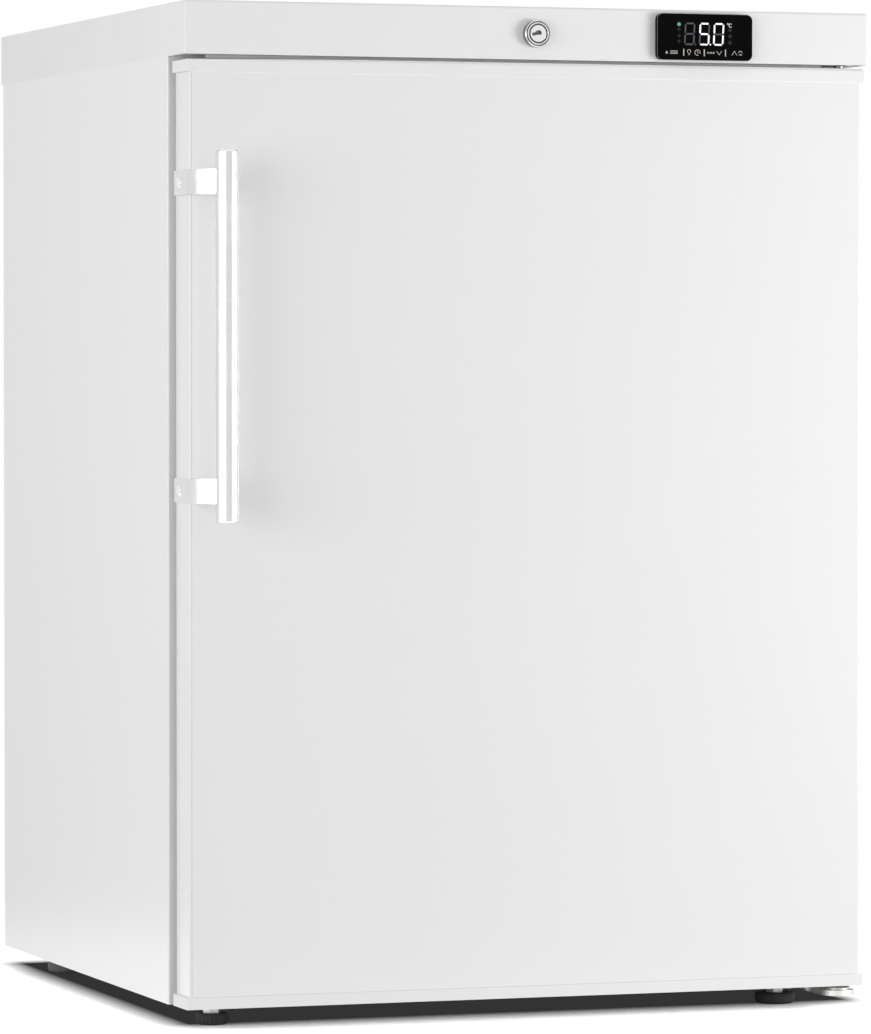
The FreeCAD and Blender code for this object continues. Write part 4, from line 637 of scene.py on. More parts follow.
class Solid:
    """A mesh under construction, with the few shapes that the fine pieces need."""

    def __init__(self) -> None:
        """Start empty."""
        self.bm = bmesh.new()

    def slab(self, outline: Sequence[Spot], front: float, back: float) -> None:
        """A flat plate facing -Y.

        Args:
            outline: its corners as (X, Z).
            front: Y of the front face.
            back: Y of the rear face.
        """
        near = [self.bm.verts.new((x, front, z)) for x, z in outline]
        far = [self.bm.verts.new((x, back, z)) for x, z in outline]
        self.bm.faces.new(near)
        self.bm.faces.new(far[::-1])
        for i in range(len(near)):
            j = (i + 1) % len(near)
            self.bm.faces.new((near[j], near[i], far[i], far[j]))

    def stroke(self, points: Sequence[Spot], width: float, front: float, back: float,
               closed: bool = False) -> None:
        """A flat line of one width facing -Y.

        Args:
            points: its middle line as (X, Z).
            width: its width.
            front: Y of the front face.
            back: Y of the rear face.
            closed: whether the line closes on itself.
        """
        count = len(points)
        rings = []
        for i, (x, z) in enumerate(points):
            ahead = points[(i + 1) % count] if closed or i < count - 1 else points[i]
            behind = points[i - 1] if closed or i else points[i]
            before = Vector((x - behind[0], z - behind[1]))
            after = Vector((ahead[0] - x, ahead[1] - z))
            before = before.normalized() if before.length else after.normalized()
            after = after.normalized() if after.length else before
            middle = (before + after).normalized()
            side = Vector((-middle.y, middle.x)) * (width / 2 / max(0.5, middle.dot(after)))
            ring = [self.bm.verts.new((x + side.x * sign, y, z + side.y * sign))
                    for sign, y in ((1, front), (-1, front), (-1, back), (1, back))]
            rings.append(ring)
        for i in range(count if closed else count - 1):
            one, two = rings[i], rings[(i + 1) % count]
            for k in range(4):
                self.bm.faces.new((one[k], one[(k + 1) % 4], two[(k + 1) % 4], two[k]))
        if not closed:
            self.bm.faces.new(rings[0][::-1])
            self.bm.faces.new(rings[-1])

    def lathe(self, profile: Sequence[Spot], place: Point, axis: Axis,
              steps: int) -> None:
        """A turned shape.

        Args:
            profile: (radius, height) points from the bottom to the top; radius 0 at an end
                closes it.
            place: the axis foot.
            axis: the direction of its axis.
            steps: points round the axis.
        """
        rings = []
        for radius, height in profile:
            if radius == 0:
                rings.append([self.bm.verts.new(along(axis, 0, 0, height, place))])
                continue
            rings.append([self.bm.verts.new(along(
                axis, radius * math.cos(2 * math.pi * i / steps),
                radius * math.sin(2 * math.pi * i / steps), height, place))
                for i in range(steps)])
        for low, high in zip(rings, rings[1:]):
            for i in range(steps):
                j = (i + 1) % steps
                quad = [low[i % len(low)], low[j % len(low)],
                        high[j % len(high)], high[i % len(high)]]
                corners = list(dict.fromkeys(quad))
                self.bm.faces.new(corners)

    def take(self, mesh: bpy.types.Mesh) -> None:
        """Add a finished mesh and drop the original.

        Args:
            mesh: the mesh to add; it isn't needed afterwards.
        """
        self.bm.from_mesh(mesh)
        bpy.data.meshes.remove(mesh)

    def shell(self, rings: Sequence[Sequence[Point]], endless: bool = False) -> None:
        """A closed form through rings of equal length.

        Args:
            rings: the rings' points in order.
            endless: whether the last ring joins the first; if not, both ends are flat.
        """
        made = [[self.bm.verts.new(point) for point in ring] for ring in rings]
        for one, two in zip(made, made[1:] + made[:1] if endless else made[1:]):
            for k in range(len(one)):
                j = (k + 1) % len(one)
                self.bm.faces.new((one[k], one[j], two[j], two[k]))
        if not endless:
            self.bm.faces.new(made[0][::-1])
            self.bm.faces.new(made[-1])

    def hexagon(self, place: Spot, across: float, low: float, high: float,
                chamfer: float) -> None:
        """An upright hexagonal block with a chamfered top.

        Args:
            place: its axis as (X, Y).
            across: size across the flats.
            low: Z of its foot.
            high: Z of its top.
            chamfer: size of the chamfer.
        """
        corner = across / math.sqrt(3)
        self.shell([[(place[0] + reach * math.cos(math.radians(60 * i)),
                      place[1] + reach * math.sin(math.radians(60 * i)), z)
                     for i in range(6)]
                    for reach, z in ((corner, low), (corner, high - chamfer),
                                     (corner - chamfer * 1.5, high))])

    def wedge(self, reach: float, half: float, low: float, high: float,
              turn: float) -> None:
        """A bar along a diameter that narrows downwards, as half of a cross recess.

        Args:
            reach: half its length at the top.
            half: half its width.
            low: Z of its foot.
            high: Z of its top.
            turn: its angle about Z.
        """
        spin = Matrix.Rotation(turn, 3, "Z")
        self.shell([[tuple(spin @ Vector((sign_x * long, sign_y * half, z)))
                     for sign_x, sign_y in ((-1, -1), (1, -1), (1, 1), (-1, 1))]
                    for long, z in ((reach * 0.35, low), (reach, high))])

    def block(self, low: Point, high: Point) -> None:
        """A plain plate between two corners.

        Args:
            low: its lowest corner.
            high: its highest corner.
        """
        self.shell([[(low[0], low[1], z), (high[0], low[1], z), (high[0], high[1], z),
                     (low[0], high[1], z)] for z in (low[2], high[2])])

    def pipe(self, points: Sequence[Point], radius: float, normal: Vector,
             steps: int = 12) -> None:
        """A round tube along a flat path.

        Args:
            points: its middle line, in one plane.
            radius: its radius.
            normal: the plane's normal.
            steps: points round the tube.
        """
        line = [Vector(point) for point in points]
        rings = []
        for i, point in enumerate(line):
            way = line[min(i + 1, len(line) - 1)] - line[max(i - 1, 0)]
            side = normal.cross(way).normalized()
            rings.append([tuple(point + radius * (
                math.cos(math.tau * k / steps) * normal + math.sin(math.tau * k / steps) * side))
                for k in range(steps)])
        self.shell(rings)

    def mesh(self, name: str, material: bpy.types.Material, smooth: bool = True,
             sharp: float = 32.0) -> bpy.types.Mesh:
        """Close the mesh.

        Args:
            name: the mesh's name.
            material: its material.
            smooth: whether its faces are shaded smooth.
            sharp: angle in degrees from which an edge stays sharp.

        Returns:
            The mesh, with its faces pointing outwards.
        """
        bmesh.ops.remove_doubles(self.bm, verts=self.bm.verts, dist=1e-7)
        bmesh.ops.recalc_face_normals(self.bm, faces=self.bm.faces)
        # Meshes that were taken in can bring slot numbers of their own.
        for face in self.bm.faces:
            face.material_index = 0
        made = bpy.data.meshes.new(name)
        self.bm.to_mesh(made)
        self.bm.free()
        if smooth:
            made.shade_smooth()
            made.set_sharp_from_angle(angle=math.radians(sharp))
        made.materials.append(material)
        return made


def along(axis: Axis, a: float, b: float, height: float, place: Point) -> Point:
    """A point at (a, b) across an axis and at a height along it.

    Args:
        axis: the axis.
        a: first distance across.
        b: second distance across.
        height: distance along the axis.
        place: the axis foot.

    Returns:
        The point in the part's frame.
    """
    across = (b, height, a) if axis is Axis.Y else (a, b, height)
    return tuple(start + step for start, step in zip(place, across))


def show(thing: bpy.types.Object) -> None:
    """Put an object in the scene."""
    bpy.context.scene.collection.objects.link(thing)


def evaluated(host: bpy.types.Object, name: str) -> bpy.types.Mesh:
    """The plain mesh that an object has once its modifiers have run.

    Args:
        host: the object, in the scene.
        name: the new mesh's name.

    Returns:
        The mesh.
    """
    bpy.context.view_layer.update()
    graph = bpy.context.evaluated_depsgraph_get()
    made = bpy.data.meshes.new_from_object(host.evaluated_get(graph), depsgraph=graph)
    made.name = name
    return made


def facing(place: Point, way: Sequence[float], front: str = "Z") -> Matrix:
    """The placement at a place that turns an object's front axis to a direction."""
    turn = Vector(way).to_track_quat(front, "Y")
    return Matrix.Translation(place) @ turn.to_matrix().to_4x4()


def add_piece(name: str, mesh: bpy.types.Mesh, body: str,
              replaces: Sequence[str] = ()) -> bpy.types.Object:
    """Put a mesh in the scene as a piece of the object.

    Args:
        name: the piece's name.
        mesh: its mesh, in place.
        body: the body that it rides on.
        replaces: the CAD nodes that it stands for.

    Returns:
        The new object.
    """
    piece = bpy.data.objects.new(name, mesh)
    show(piece)
    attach(piece, body)
    if replaces:
        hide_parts(*replaces)
    log.info("%s on %s, %d faces", name, body, len(mesh.polygons))
    return piece


class Recipe(Graph):
    """A Geometry Nodes tree that ends in one plain mesh."""

    def __init__(self, name: str) -> None:
        """Start an empty tree.

        Args:
            name: the tree's name.
        """
        super().__init__(bpy.data.node_groups.new(name, "GeometryNodeTree"))
        self.tree.interface.new_socket("Geometry", in_out="OUTPUT",
                                       socket_type="NodeSocketGeometry")
        self.entry = self.tree.nodes.new("NodeGroupInput")

    def size(self, name: str, kind: str) -> bpy.types.NodeSocket:
        """Add a named input.

        Args:
            name: the input's name.
            kind: "Float", "Int", "Vector" or "Object".

        Returns:
            The socket that gives its value inside the tree.
        """
        self.tree.interface.new_socket(name, in_out="INPUT", socket_type=f"NodeSocket{kind}")
        return self.entry.outputs[name]

    def row(self) -> bpy.types.NodeSocket:
        """Add a row of points with the inputs Count, Start and Step.

        Returns:
            The points.
        """
        line = self.node("GeometryNodeMeshLine", None, {
            "Count": self.size("Count", "Int"), "Start Location": self.size("Start", "Vector"),
            "Offset": self.size("Step", "Vector")})
        return line.outputs["Mesh"]

    def close(self, geometry: object, material: bpy.types.Material) -> None:
        """End the tree.

        Args:
            geometry: the output to hand on.
            material: the material of all of it.
        """
        real = self.node("GeometryNodeRealizeInstances", None, {"Geometry": geometry})
        set_on = self.node("GeometryNodeSetMaterial", None, {
            "Geometry": real.outputs[0], "Material": material})
        self.node("NodeGroupOutput", None, {0: set_on.outputs[0]})

    def grow(self, name: str, values: dict) -> bpy.types.Mesh:
        """Run the tree with the given sizes.

        Args:
            name: the new mesh's name.
            values: each input's value by its name.

        Returns:
            The result as a plain mesh.
        """
        host = bpy.data.objects.new(name + "_host", bpy.data.meshes.new(name + "_host"))
        show(host)
        modifier = host.modifiers.new("recipe", "NODES")
        modifier.node_group = self.tree
        for item in self.tree.interface.items_tree:
            if item.item_type == "SOCKET" and item.in_out == "INPUT" and item.name in values:
                modifier[item.identifier] = values[item.name]
        made = evaluated(host, name)
        host.modifiers.remove(modifier)
        bpy.data.objects.remove(host)
        return made


@dataclass
class Casework:
    """Gives every CAD node the finish of its slot."""

    def build(self) -> None:
        """Dress all nodes by the record's slots."""
        for part in frame["record"]["subparts"]:
            node = frame["nodes"][part["node"]]
            material = PAINTS.slot(Slot(part["material_slot"]))
            if not node.data.materials:
                node.data.materials.append(material)
            for place in node.material_slots:
                place.material = material
            log.info("%s dressed as %s", part["node"], part["material_slot"])


@dataclass
class Controller:
    """The marks behind the glass of the touch controller, and a pale line round the glass that is a
    painted highlight of its edge.
    """

    digit_tall: float = 0.0187
    digit_wide: float = 0.0093
    digit_lefts: tuple[float, ...] = (0.0231, 0.0363, 0.0490)
    digit_top: float = 0.0073
    bar: float = 0.00135
    split: float = 0.35
    point_gap: float = 1.25
    lean: float = 0.05
    line: float = 0.00045
    row: float = 0.0321
    divider: Spot = (0.0292, 0.0350)
    divider_wide: float = 0.0009
    dividers: tuple[float, ...] = (0.0229, 0.0413, 0.0603)
    alarm_key: float = 0.0077
    alarm_half: float = 0.0012
    menu_key: Spot = (0.0108, 0.0176)
    menu_gap: float = 0.0011
    bulb_key: float = 0.0277
    clock_key: float = 0.0352
    set_keys: tuple[float, ...] = (0.0448, 0.0472, 0.0496)
    up_key: float = 0.0546
    down_key: float = 0.0683
    chevron_half: float = 0.0023
    chevron_rise: float = 0.0016
    defrost_key: float = 0.0737
    degree: Spot = (0.0624, 0.0079)
    celsius: Spot = (0.0648, 0.0091)
    run_lamp: Spot = (0.0187, 0.0088)
    left_lamps: tuple[float, ...] = (0.0129, 0.0183, 0.0230)
    right_lamps: tuple[float, ...] = (0.0130, 0.0182, 0.0234)
    right_lamp_place: float = 0.0643
    faint_line: float = 0.8
    corner: float = 0.005
    corner_spans: int = 8
    highlight_share: float = 0.2
    highlight_wide: float = 0.0003
    highlight_clear: float = 0.00004
    sunk: float = 0.00002
    proud: float = 0.00005

    def __post_init__(self) -> None:
        """Read the panel's place from the CAD."""
        self.low, self.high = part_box("touch_panel")
        self.front = self.low.y - self.proud
        self.back = self.low.y - self.sunk

    def spot(self, across: float, down: float) -> Spot:
        """A place on the panel from its upper left corner."""
        return self.low.x + across, self.high.z - down

    def segment(self, start: Spot, end: Spot) -> list[Spot]:
        """One bar of a figure, pointed at both ends.

        Args:
            start: (across, down) of its first end.
            end: (across, down) of its other end.

        Returns:
            The outline.
        """
        one, two = Vector(start), Vector(end)
        way = (two - one).normalized()
        side = Vector((-way.y, way.x)) * (self.bar / 2)
        gap = way * self.bar * self.split
        tip = way * (self.bar / 2)
        one, two = one + gap, two - gap
        corners = [one, one + tip + side, two - tip + side, two, two - tip - side,
                   one + tip - side]
        floor = self.digit_top + self.digit_tall
        return [self.spot(corner.x + self.lean * (floor - corner.y), corner.y)
                for corner in corners]

    def figure(self, left: float) -> dict[str, list[Spot]]:
        """The seven bars of one figure and its point.

        Args:
            left: its left edge at the foot, from the panel's left edge.

        Returns:
            Their outlines by letter, a to g, and p for the point.
        """
        left += self.bar / 2
        right = left + self.digit_wide - self.bar
        top = self.digit_top + self.bar / 2
        low = self.digit_top + self.digit_tall - self.bar / 2
        half = (top + low) / 2
        ends = {
            "a": ((left, top), (right, top)), "b": ((right, top), (right, half)),
            "c": ((right, half), (right, low)), "d": ((left, low), (right, low)),
            "e": ((left, half), (left, low)), "f": ((left, top), (left, half)),
            "g": ((left, half), (right, half)),
        }
        bars = {letter: self.segment(*pair) for letter, pair in ends.items()}
        bars["p"] = self.ring(right + self.bar * self.point_gap, low, self.bar / 2, steps=12)
        return bars

    def ring(self, across: float, down: float, radius: float, start: float = 0.0,
             end: float = 360.0, steps: int = 20) -> list[Spot]:
        """Points on an arc.

        Args:
            across: its middle from the panel's left edge.
            down: its middle from the top edge.
            radius: its radius.
            start: first angle in degrees, from the right, upwards.
            end: last angle.
            steps: number of spans.

        Returns:
            The points.
        """
        full = abs(end - start) >= 360
        count = steps if full else steps + 1
        angles = [math.radians(start + (end - start) * i / steps) for i in range(count)]
        return [self.spot(across + radius * math.cos(a), down - radius * math.sin(a))
                for a in angles]

    def rule(self, marks: Solid, *places: Spot, width: float | None = None) -> None:
        """Draw a thin line through places given as (across, down).

        Args:
            marks: the mesh to draw into.
            places: the line's points.
            width: its width, by default that of the key symbols.
        """
        marks.stroke([self.spot(*place) for place in places], width or self.line,
                     self.front, self.back)

    def loop(self, marks: Solid, across: float, down: float, radius: float,
             start: float = 0.0, end: float = 360.0, width: float | None = None) -> None:
        """Draw a ring or an arc.

        Args:
            marks: the mesh to draw into.
            across: its middle from the left edge.
            down: its middle from the top edge.
            radius: its radius.
            start: first angle in degrees.
            end: last angle.
            width: the line's width, by default that of the key symbols.
        """
        marks.stroke(self.ring(across, down, radius, start, end), width or self.line,
                     self.front, self.back, abs(end - start) >= 360)

    def put(self, name: str, marks: Solid, finish: Glow,
            smooth: bool = False) -> None:
        """Add finished marks to the display.

        Args:
            name: their name, which follows "display_" in the piece's name.
            marks: the marks.
            finish: their finish.
            smooth: whether their faces are shaded smooth.
        """
        add_piece("display_" + name, marks.mesh(name, PAINTS.of(finish), smooth), "cabinet")

    def build_figures(self) -> None:
        """The lit and unlit bars of three figures, which read 5.0."""
        shown = ("", "afgcdp", "abcdef")
        lit, dim = Solid(), Solid()
        for left, letters in zip(self.digit_lefts, shown):
            for letter, outline in self.figure(left).items():
                if letter == "p" and left == self.digit_lefts[-1]:
                    continue
                (lit if letter in letters else dim).slab(outline, self.front, self.back)
        self.put("figures_lit", lit, FIGURE_LIT)
        self.put("figures_unlit", dim, FIGURE_UNLIT)

    def draw_bulb(self, marks: Solid, across: float) -> None:
        """Light key: a bulb over its cap.

        Args:
            marks: the mesh to draw into.
            across: its middle from the left edge.
        """
        self.loop(marks, across, self.row - 0.0009, 0.0015, -55, 235)
        for drop, reach in ((0.0011, 0.0008), (0.0019, 0.0006)):
            self.rule(marks, (across - reach, self.row + drop), (across + reach, self.row + drop))

    def draw_clock(self, marks: Solid, across: float) -> None:
        """Timer key: an open ring with two hands.

        Args:
            marks: the mesh to draw into.
            across: its middle from the left edge.
        """
        self.loop(marks, across, self.row, 0.0023, -25, 290)
        self.rule(marks, (across, self.row - 0.0014), (across, self.row),
                  (across + 0.0010, self.row + 0.0005))

    def draw_chevron(self, marks: Solid, across: float, rise: float) -> None:
        """Up or down key: a wide V.

        Args:
            marks: the mesh to draw into.
            across: its middle from the left edge.
            rise: half its height, positive for a V that opens upwards.
        """
        half = self.chevron_half
        self.rule(marks, (across - half, self.row - rise), (across, self.row + rise),
                  (across + half, self.row - rise))

    def draw_drops(self, marks: Solid, across: float) -> None:
        """Defrost key: a half ring over three short drops.

        Args:
            marks: the mesh to draw into.
            across: its middle from the left edge.
        """
        self.loop(marks, across, self.row - 0.0003, 0.0015, 0, 180)
        for step in (-0.0010, 0.0, 0.0010):
            self.rule(marks, (across + step, self.row + 0.0006), (across + step, self.row + 0.0018))

    def build_marks(self) -> None:
        """Printed key symbols and the dividers between the keys, with a painted glow on top of
        their print colour.
        """
        marks = Solid()
        for across in self.dividers:
            self.rule(marks, (across, self.divider[0]), (across, self.divider[1]),
                      width=self.divider_wide)
        foot = self.row + 0.0011
        marks.slab([self.spot(self.alarm_key - self.alarm_half, foot),
                    self.spot(self.alarm_key + self.alarm_half, foot),
                    self.spot(self.alarm_key, self.row - 0.0013)], self.front, self.back)
        for step in (-1, 0, 1):
            level = self.row + self.menu_gap * step
            self.rule(marks, (self.menu_key[0], level), (self.menu_key[1], level))
        self.draw_bulb(marks, self.bulb_key)
        self.draw_clock(marks, self.clock_key)
        for across in self.set_keys:
            self.loop(marks, across, self.row, 0.0006)
        self.draw_chevron(marks, self.up_key, self.chevron_rise)
        self.draw_chevron(marks, self.down_key, -self.chevron_rise)
        self.draw_drops(marks, self.defrost_key)
        self.put("key_marks", marks, KEY_PRINT_PAINTED_GLOW)

    def build_lamps(self) -> None:
        """The degree mark, the green run lamp and the lamps that are off."""
        unit = Solid()
        fine = self.line * self.faint_line
        self.loop(unit, *self.degree, 0.0006, width=fine)
        self.loop(unit, *self.celsius, 0.0014, 50, 310, self.line * 1.2)
        self.put("unit_mark", unit, UNIT_LIT)
        lamp = Solid()
        lamp.slab(self.ring(*self.run_lamp, 0.0016, steps=24), self.front, self.back)
        self.put("run_lamp", lamp, LAMP_GREEN)
        faint = Solid()
        for down in self.left_lamps:
            self.loop(faint, self.run_lamp[0], down, 0.0010, width=fine)
        place = self.right_lamp_place
        for down in self.right_lamps:
            self.loop(faint, place, down, 0.0012, width=fine)
            self.rule(faint, (place - 0.0006, down), (place + 0.0006, down), width=fine)
        self.put("lamps_unlit", faint, LAMP_UNLIT)

    def build_edge_highlight(self) -> None:
        """A pale line round the edge of the glass, a little behind its front: a painted highlight
        of the glass's edge.
        """
        depth = self.low.y + (self.high.y - self.low.y) * self.highlight_share
        reach = self.corner + self.highlight_clear
        points: list[Spot] = []
        right, left = self.high.x - self.corner, self.low.x + self.corner
        upper, lower = self.high.z - self.corner, self.low.z + self.corner
        for x, z, start in ((right, upper, 0), (left, upper, 90), (left, lower, 180),
                            (right, lower, 270)):
            for i in range(self.corner_spans + 1):
                angle = math.radians(start + 90 * i / self.corner_spans)
                points.append((x + reach * math.cos(angle), z + reach * math.sin(angle)))
        highlight_line = Solid()
        half = self.highlight_wide / 2
        highlight_line.stroke(points, self.highlight_wide, depth - half, depth + half, True)
        self.put("trim_line", highlight_line, GLASS_EDGE_HIGHLIGHT, smooth=True)

    def build(self) -> None:
        """Build all of it."""
        self.build_figures()
        self.build_marks()
        self.build_lamps()
        self.build_edge_highlight()


@dataclass
class Lock:
    """Chromed key lock: ringed housing, turning plug with its keyway, painted shade in its grooves
    and a painted dark reflection on its flange's rim.
    """

    proud: float = 0.0075
    long: float = 0.020
    bore: float = 0.00772
    plug: float = 0.0076
    keyway_deep: float = 0.0040
    rim: float = 0.0112
    rim_wall: float = 0.0003
    steps: int = 72
    crisp: float = 20.0

    def __post_init__(self) -> None:
        """Read the lock's place from the CAD."""
        low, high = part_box("lock_housing")
        self.place = ((low.x + high.x) / 2, low.y + self.proud, (low.z + high.z) / 2)
        self.face = -self.proud

    def build_housing(self) -> None:
        """The housing with its flange, its raised ring and its barrel, and the flange's rim in
        darker metal as a painted dark reflection.
        """
        # Radius and distance along Y: barrel, flange, outer groove, raised ring, inner groove.
        profile = [
            (self.bore, -0.0050), (self.bore, self.long), (0.0090, self.long), (0.0090, 0.0),
            (0.01089, 0.0), (0.01089, -0.0063), (0.0106, -0.0066), (0.0103, -0.0066),
            (0.01014, -0.0060), (0.0094, -0.0060), (0.0093, -0.0071), (0.0091, self.face),
            (0.0083, self.face), (0.00816, -0.0073), (0.00809, -0.0060),
            (self.bore, -0.0056), (self.bore, -0.0050)]
        shell = Solid()
        shell.lathe(profile, self.place, Axis.Y, self.steps)
        chrome = PAINTS.slot(Slot.CHROME)
        add_piece("lock_ringed_housing", shell.mesh("lock_shell", chrome, sharp=self.crisp),
                  "cabinet", ["lock_housing"])
        wall = Solid()
        wall.lathe([
            (self.rim - self.rim_wall, 0.0), (self.rim, 0.0), (self.rim, -0.0055),
            (self.rim - 0.00005, -0.0060), (self.rim - self.rim_wall, -0.0063),
            (self.rim - self.rim_wall, 0.0)], self.place, Axis.Y, self.steps)
        # The flange's rim is darker metal than the chrome: a painted dark reflection.
        side = PAINTS.of(LOCK_RIM_PAINTED_REFLECTION)
        add_piece("lock_flange_rim", wall.mesh("flange_rim", side, sharp=self.crisp),
                  "cabinet")

    def build_plug(self) -> None:
        """The turning plug with the profile of its keyway cut into it."""
        # Radius and distance along Y: face, step down to the groove, body of the plug.
        core = Solid()
        core.lathe([(0, -0.0073), (0.0067, -0.0073), (0.0069, -0.0072), (0.00698, -0.0058),
                    (self.plug, -0.0054), (self.plug, self.long), (0, self.long)],
                   self.place, Axis.Y, self.steps)
        chrome = PAINTS.slot(Slot.CHROME)
        # The keyway's outline, in millimetres from the lock's axis.
        way = [(-5.4, -1.7), (-3.6, -1.8), (-2.2, -1.3), (0.5, -1.0), (2.7, -1.0), (2.75, 1.2),
               (2.2, 2.2), (1.0, 2.7), (-0.6, 2.6), (-1.9, 1.9), (-3.0, 1.0), (-4.2, 0.7),
               (-5.4, 0.8)]
        x, y, z = self.place
        tool = Solid()
        tool.slab([(x + a * MM, z + b * MM) for a, b in way], y - self.proud - 0.001,
                  y - self.proud + self.keyway_deep)
        mesh = carved(core.mesh("lock_core_mesh", chrome, sharp=self.crisp),
                      tool.mesh("keyway", chrome, False))
        mesh.set_sharp_from_angle(angle=math.radians(self.crisp))
        add_piece("lock_turning_plug", mesh, "lock", ["lock_plug"])

    def band(self, solid: Solid, inner: float, outer: float, front: float,
             back: float) -> None:
        """Add a flat ring or disc about the lock's axis.

        Args:
            solid: the mesh to add it to.
            inner: inner radius; 0 makes a disc.
            outer: outer radius.
            front: its front, as a distance from the lock's place along Y.
            back: its back.
        """
        profile = [(inner, back), (outer, back), (outer, front), (inner, front)]
        if inner:
            profile.append(profile[0])
        solid.lathe(profile, self.place, Axis.Y, self.steps)

    def build_grooves(self) -> None:
        """Dark floors of the two grooves and of the keyway, as painted shade."""
        # Near-black rings and a disc at the groove and keyway floors: painted shade.
        painted_shade = PAINTS.of(LOCK_GROOVE_PAINTED_SHADE)
        inner, outer, floor = Solid(), Solid(), Solid()
        self.band(inner, 0.00702, self.plug - 0.00002, -0.0062, -0.0054)
        self.band(outer, self.bore + 0.00002, 0.00806, -0.0062, -0.0056)
        self.band(outer, 0.00942, 0.01012, -0.0064, -0.0060)
        self.band(floor, 0.0, 0.0064, -0.0058, -0.0040)
        add_piece("lock_plug_groove", inner.mesh("plug_groove", painted_shade), "lock")
        add_piece("lock_housing_groove", outer.mesh("housing_groove", painted_shade), "cabinet")
        add_piece("lock_keyway_floor", floor.mesh("keyway_floor", painted_shade), "lock")

    def build(self) -> None:
        """Build all of it."""
        self.build_housing()
        self.build_plug()
        self.build_grooves()


def carved(base: bpy.types.Mesh, tool: bpy.types.Mesh) -> bpy.types.Mesh:
    """A mesh with another one cut out of it.

    Args:
        base: the closed mesh to cut.
        tool: the closed mesh that is taken away.

    Returns:
        The cut mesh, with the base's material.
    """
    host = bpy.data.objects.new("carving", base)
    knife = bpy.data.objects.new("knife", tool)
    for thing in (host, knife):
        show(thing)
    modifier = host.modifiers.new("cut", "BOOLEAN")
    modifier.operation = "DIFFERENCE"
    modifier.solver = "EXACT"
    modifier.object = knife
    made = evaluated(host, base.name)
    for thing in (host, knife):
        bpy.data.objects.remove(thing)
    while len(made.materials) > 1:
        made.materials.pop()
    return made


@dataclass
class RingOfBars:
    """Recipe for upright grip bars round a circle."""

    count: int
    radius: float
    bar: float
    tall: float

    def grow(self, name: str, place: Point, material: bpy.types.Material) -> bpy.types.Mesh:
        """Make the bars.

        Args:
            name: the mesh's name.
            place: middle of the ring.
            material: material of the bars.

        Returns:
            The mesh.
        """
        r = Recipe(name)
        ring = r.node("GeometryNodeMeshCircle", None, {
            "Vertices": r.size("Count", "Int"), "Radius": r.size("Radius", "Float")})
        bar = r.node("GeometryNodeMeshCylinder", None, {
            "Vertices": 10, "Radius": r.size("Bar", "Float"), "Depth": r.size("Tall", "Float")})
        dotted = r.node("GeometryNodeInstanceOnPoints", None, {
            "Points": ring.outputs["Mesh"], "Instance": bar.outputs["Mesh"]})
        moved = r.node("GeometryNodeTransform", None, {
            "Geometry": dotted.outputs["Instances"], "Translation": r.size("Place", "Vector")})
        r.close(moved.outputs["Geometry"], material)
        return r.grow(name, {"Count": self.count, "Radius": self.radius, "Bar": self.bar,
                             "Tall": self.tall, "Place": place})


@dataclass
class Thread:
    """Recipe for a screw thread: a ridge wound along a helix."""

    core: float
    crest: float
    pitch: float
    long: float
    spans: int = 24

    def grow(self, name: str, place: Point, material: bpy.types.Material) -> bpy.types.Mesh:
        """Make the ridge, upwards from a place.

        Args:
            name: the mesh's name.
            place: middle of its lower end.
            material: its material.

        Returns:
            The mesh.
        """
        r = Recipe(name)
        radius = r.size("Radius", "Float")
        helix = r.node("GeometryNodeCurveSpiral", None, {
            "Resolution": self.spans, "Rotations": r.size("Turns", "Float"),
            "Start Radius": radius, "End Radius": radius, "Height": r.size("Long", "Float")})
        upright = r.node("GeometryNodeSetCurveNormal", {"mode": "Z_UP"}, {
            "Curve": helix.outputs["Curve"]})
        ridge = r.node("GeometryNodeCurvePrimitiveCircle", None, {
            "Resolution": 4, "Radius": r.size("Ridge", "Float")})
        swept = r.node("GeometryNodeCurveToMesh", None, {
            "Curve": upright.outputs["Curve"], "Profile Curve": ridge.outputs["Curve"],
            "Fill Caps": True})
        moved = r.node("GeometryNodeTransform", None, {
            "Geometry": swept.outputs["Mesh"], "Translation": r.size("Place", "Vector")})
        r.close(moved.outputs["Geometry"], material)
        ridge_size = self.crest - self.core
        return r.grow(name, {"Radius": self.core, "Turns": self.long / self.pitch,
                             "Long": self.long, "Ridge": ridge_size, "Place": place})


@dataclass
class FinStack:
    """Recipe for a row of thin plates."""

    count: int
    start: Point
    step: Point
    plate: Point

    def grow(self, name: str, material: bpy.types.Material) -> bpy.types.Mesh:
        """Make the plates.

        Args:
            name: the mesh's name.
            material: their material.

        Returns:
            The mesh.
        """
        r = Recipe(name)
        plate = r.node("GeometryNodeMeshCube", None, {"Size": r.size("Plate", "Vector")})
        dotted = r.node("GeometryNodeInstanceOnPoints", None, {
            "Points": r.row(), "Instance": plate.outputs["Mesh"]})
        r.close(dotted.outputs["Instances"], material)
        return r.grow(name, {"Count": self.count, "Start": self.start, "Step": self.step,
                             "Plate": self.plate})


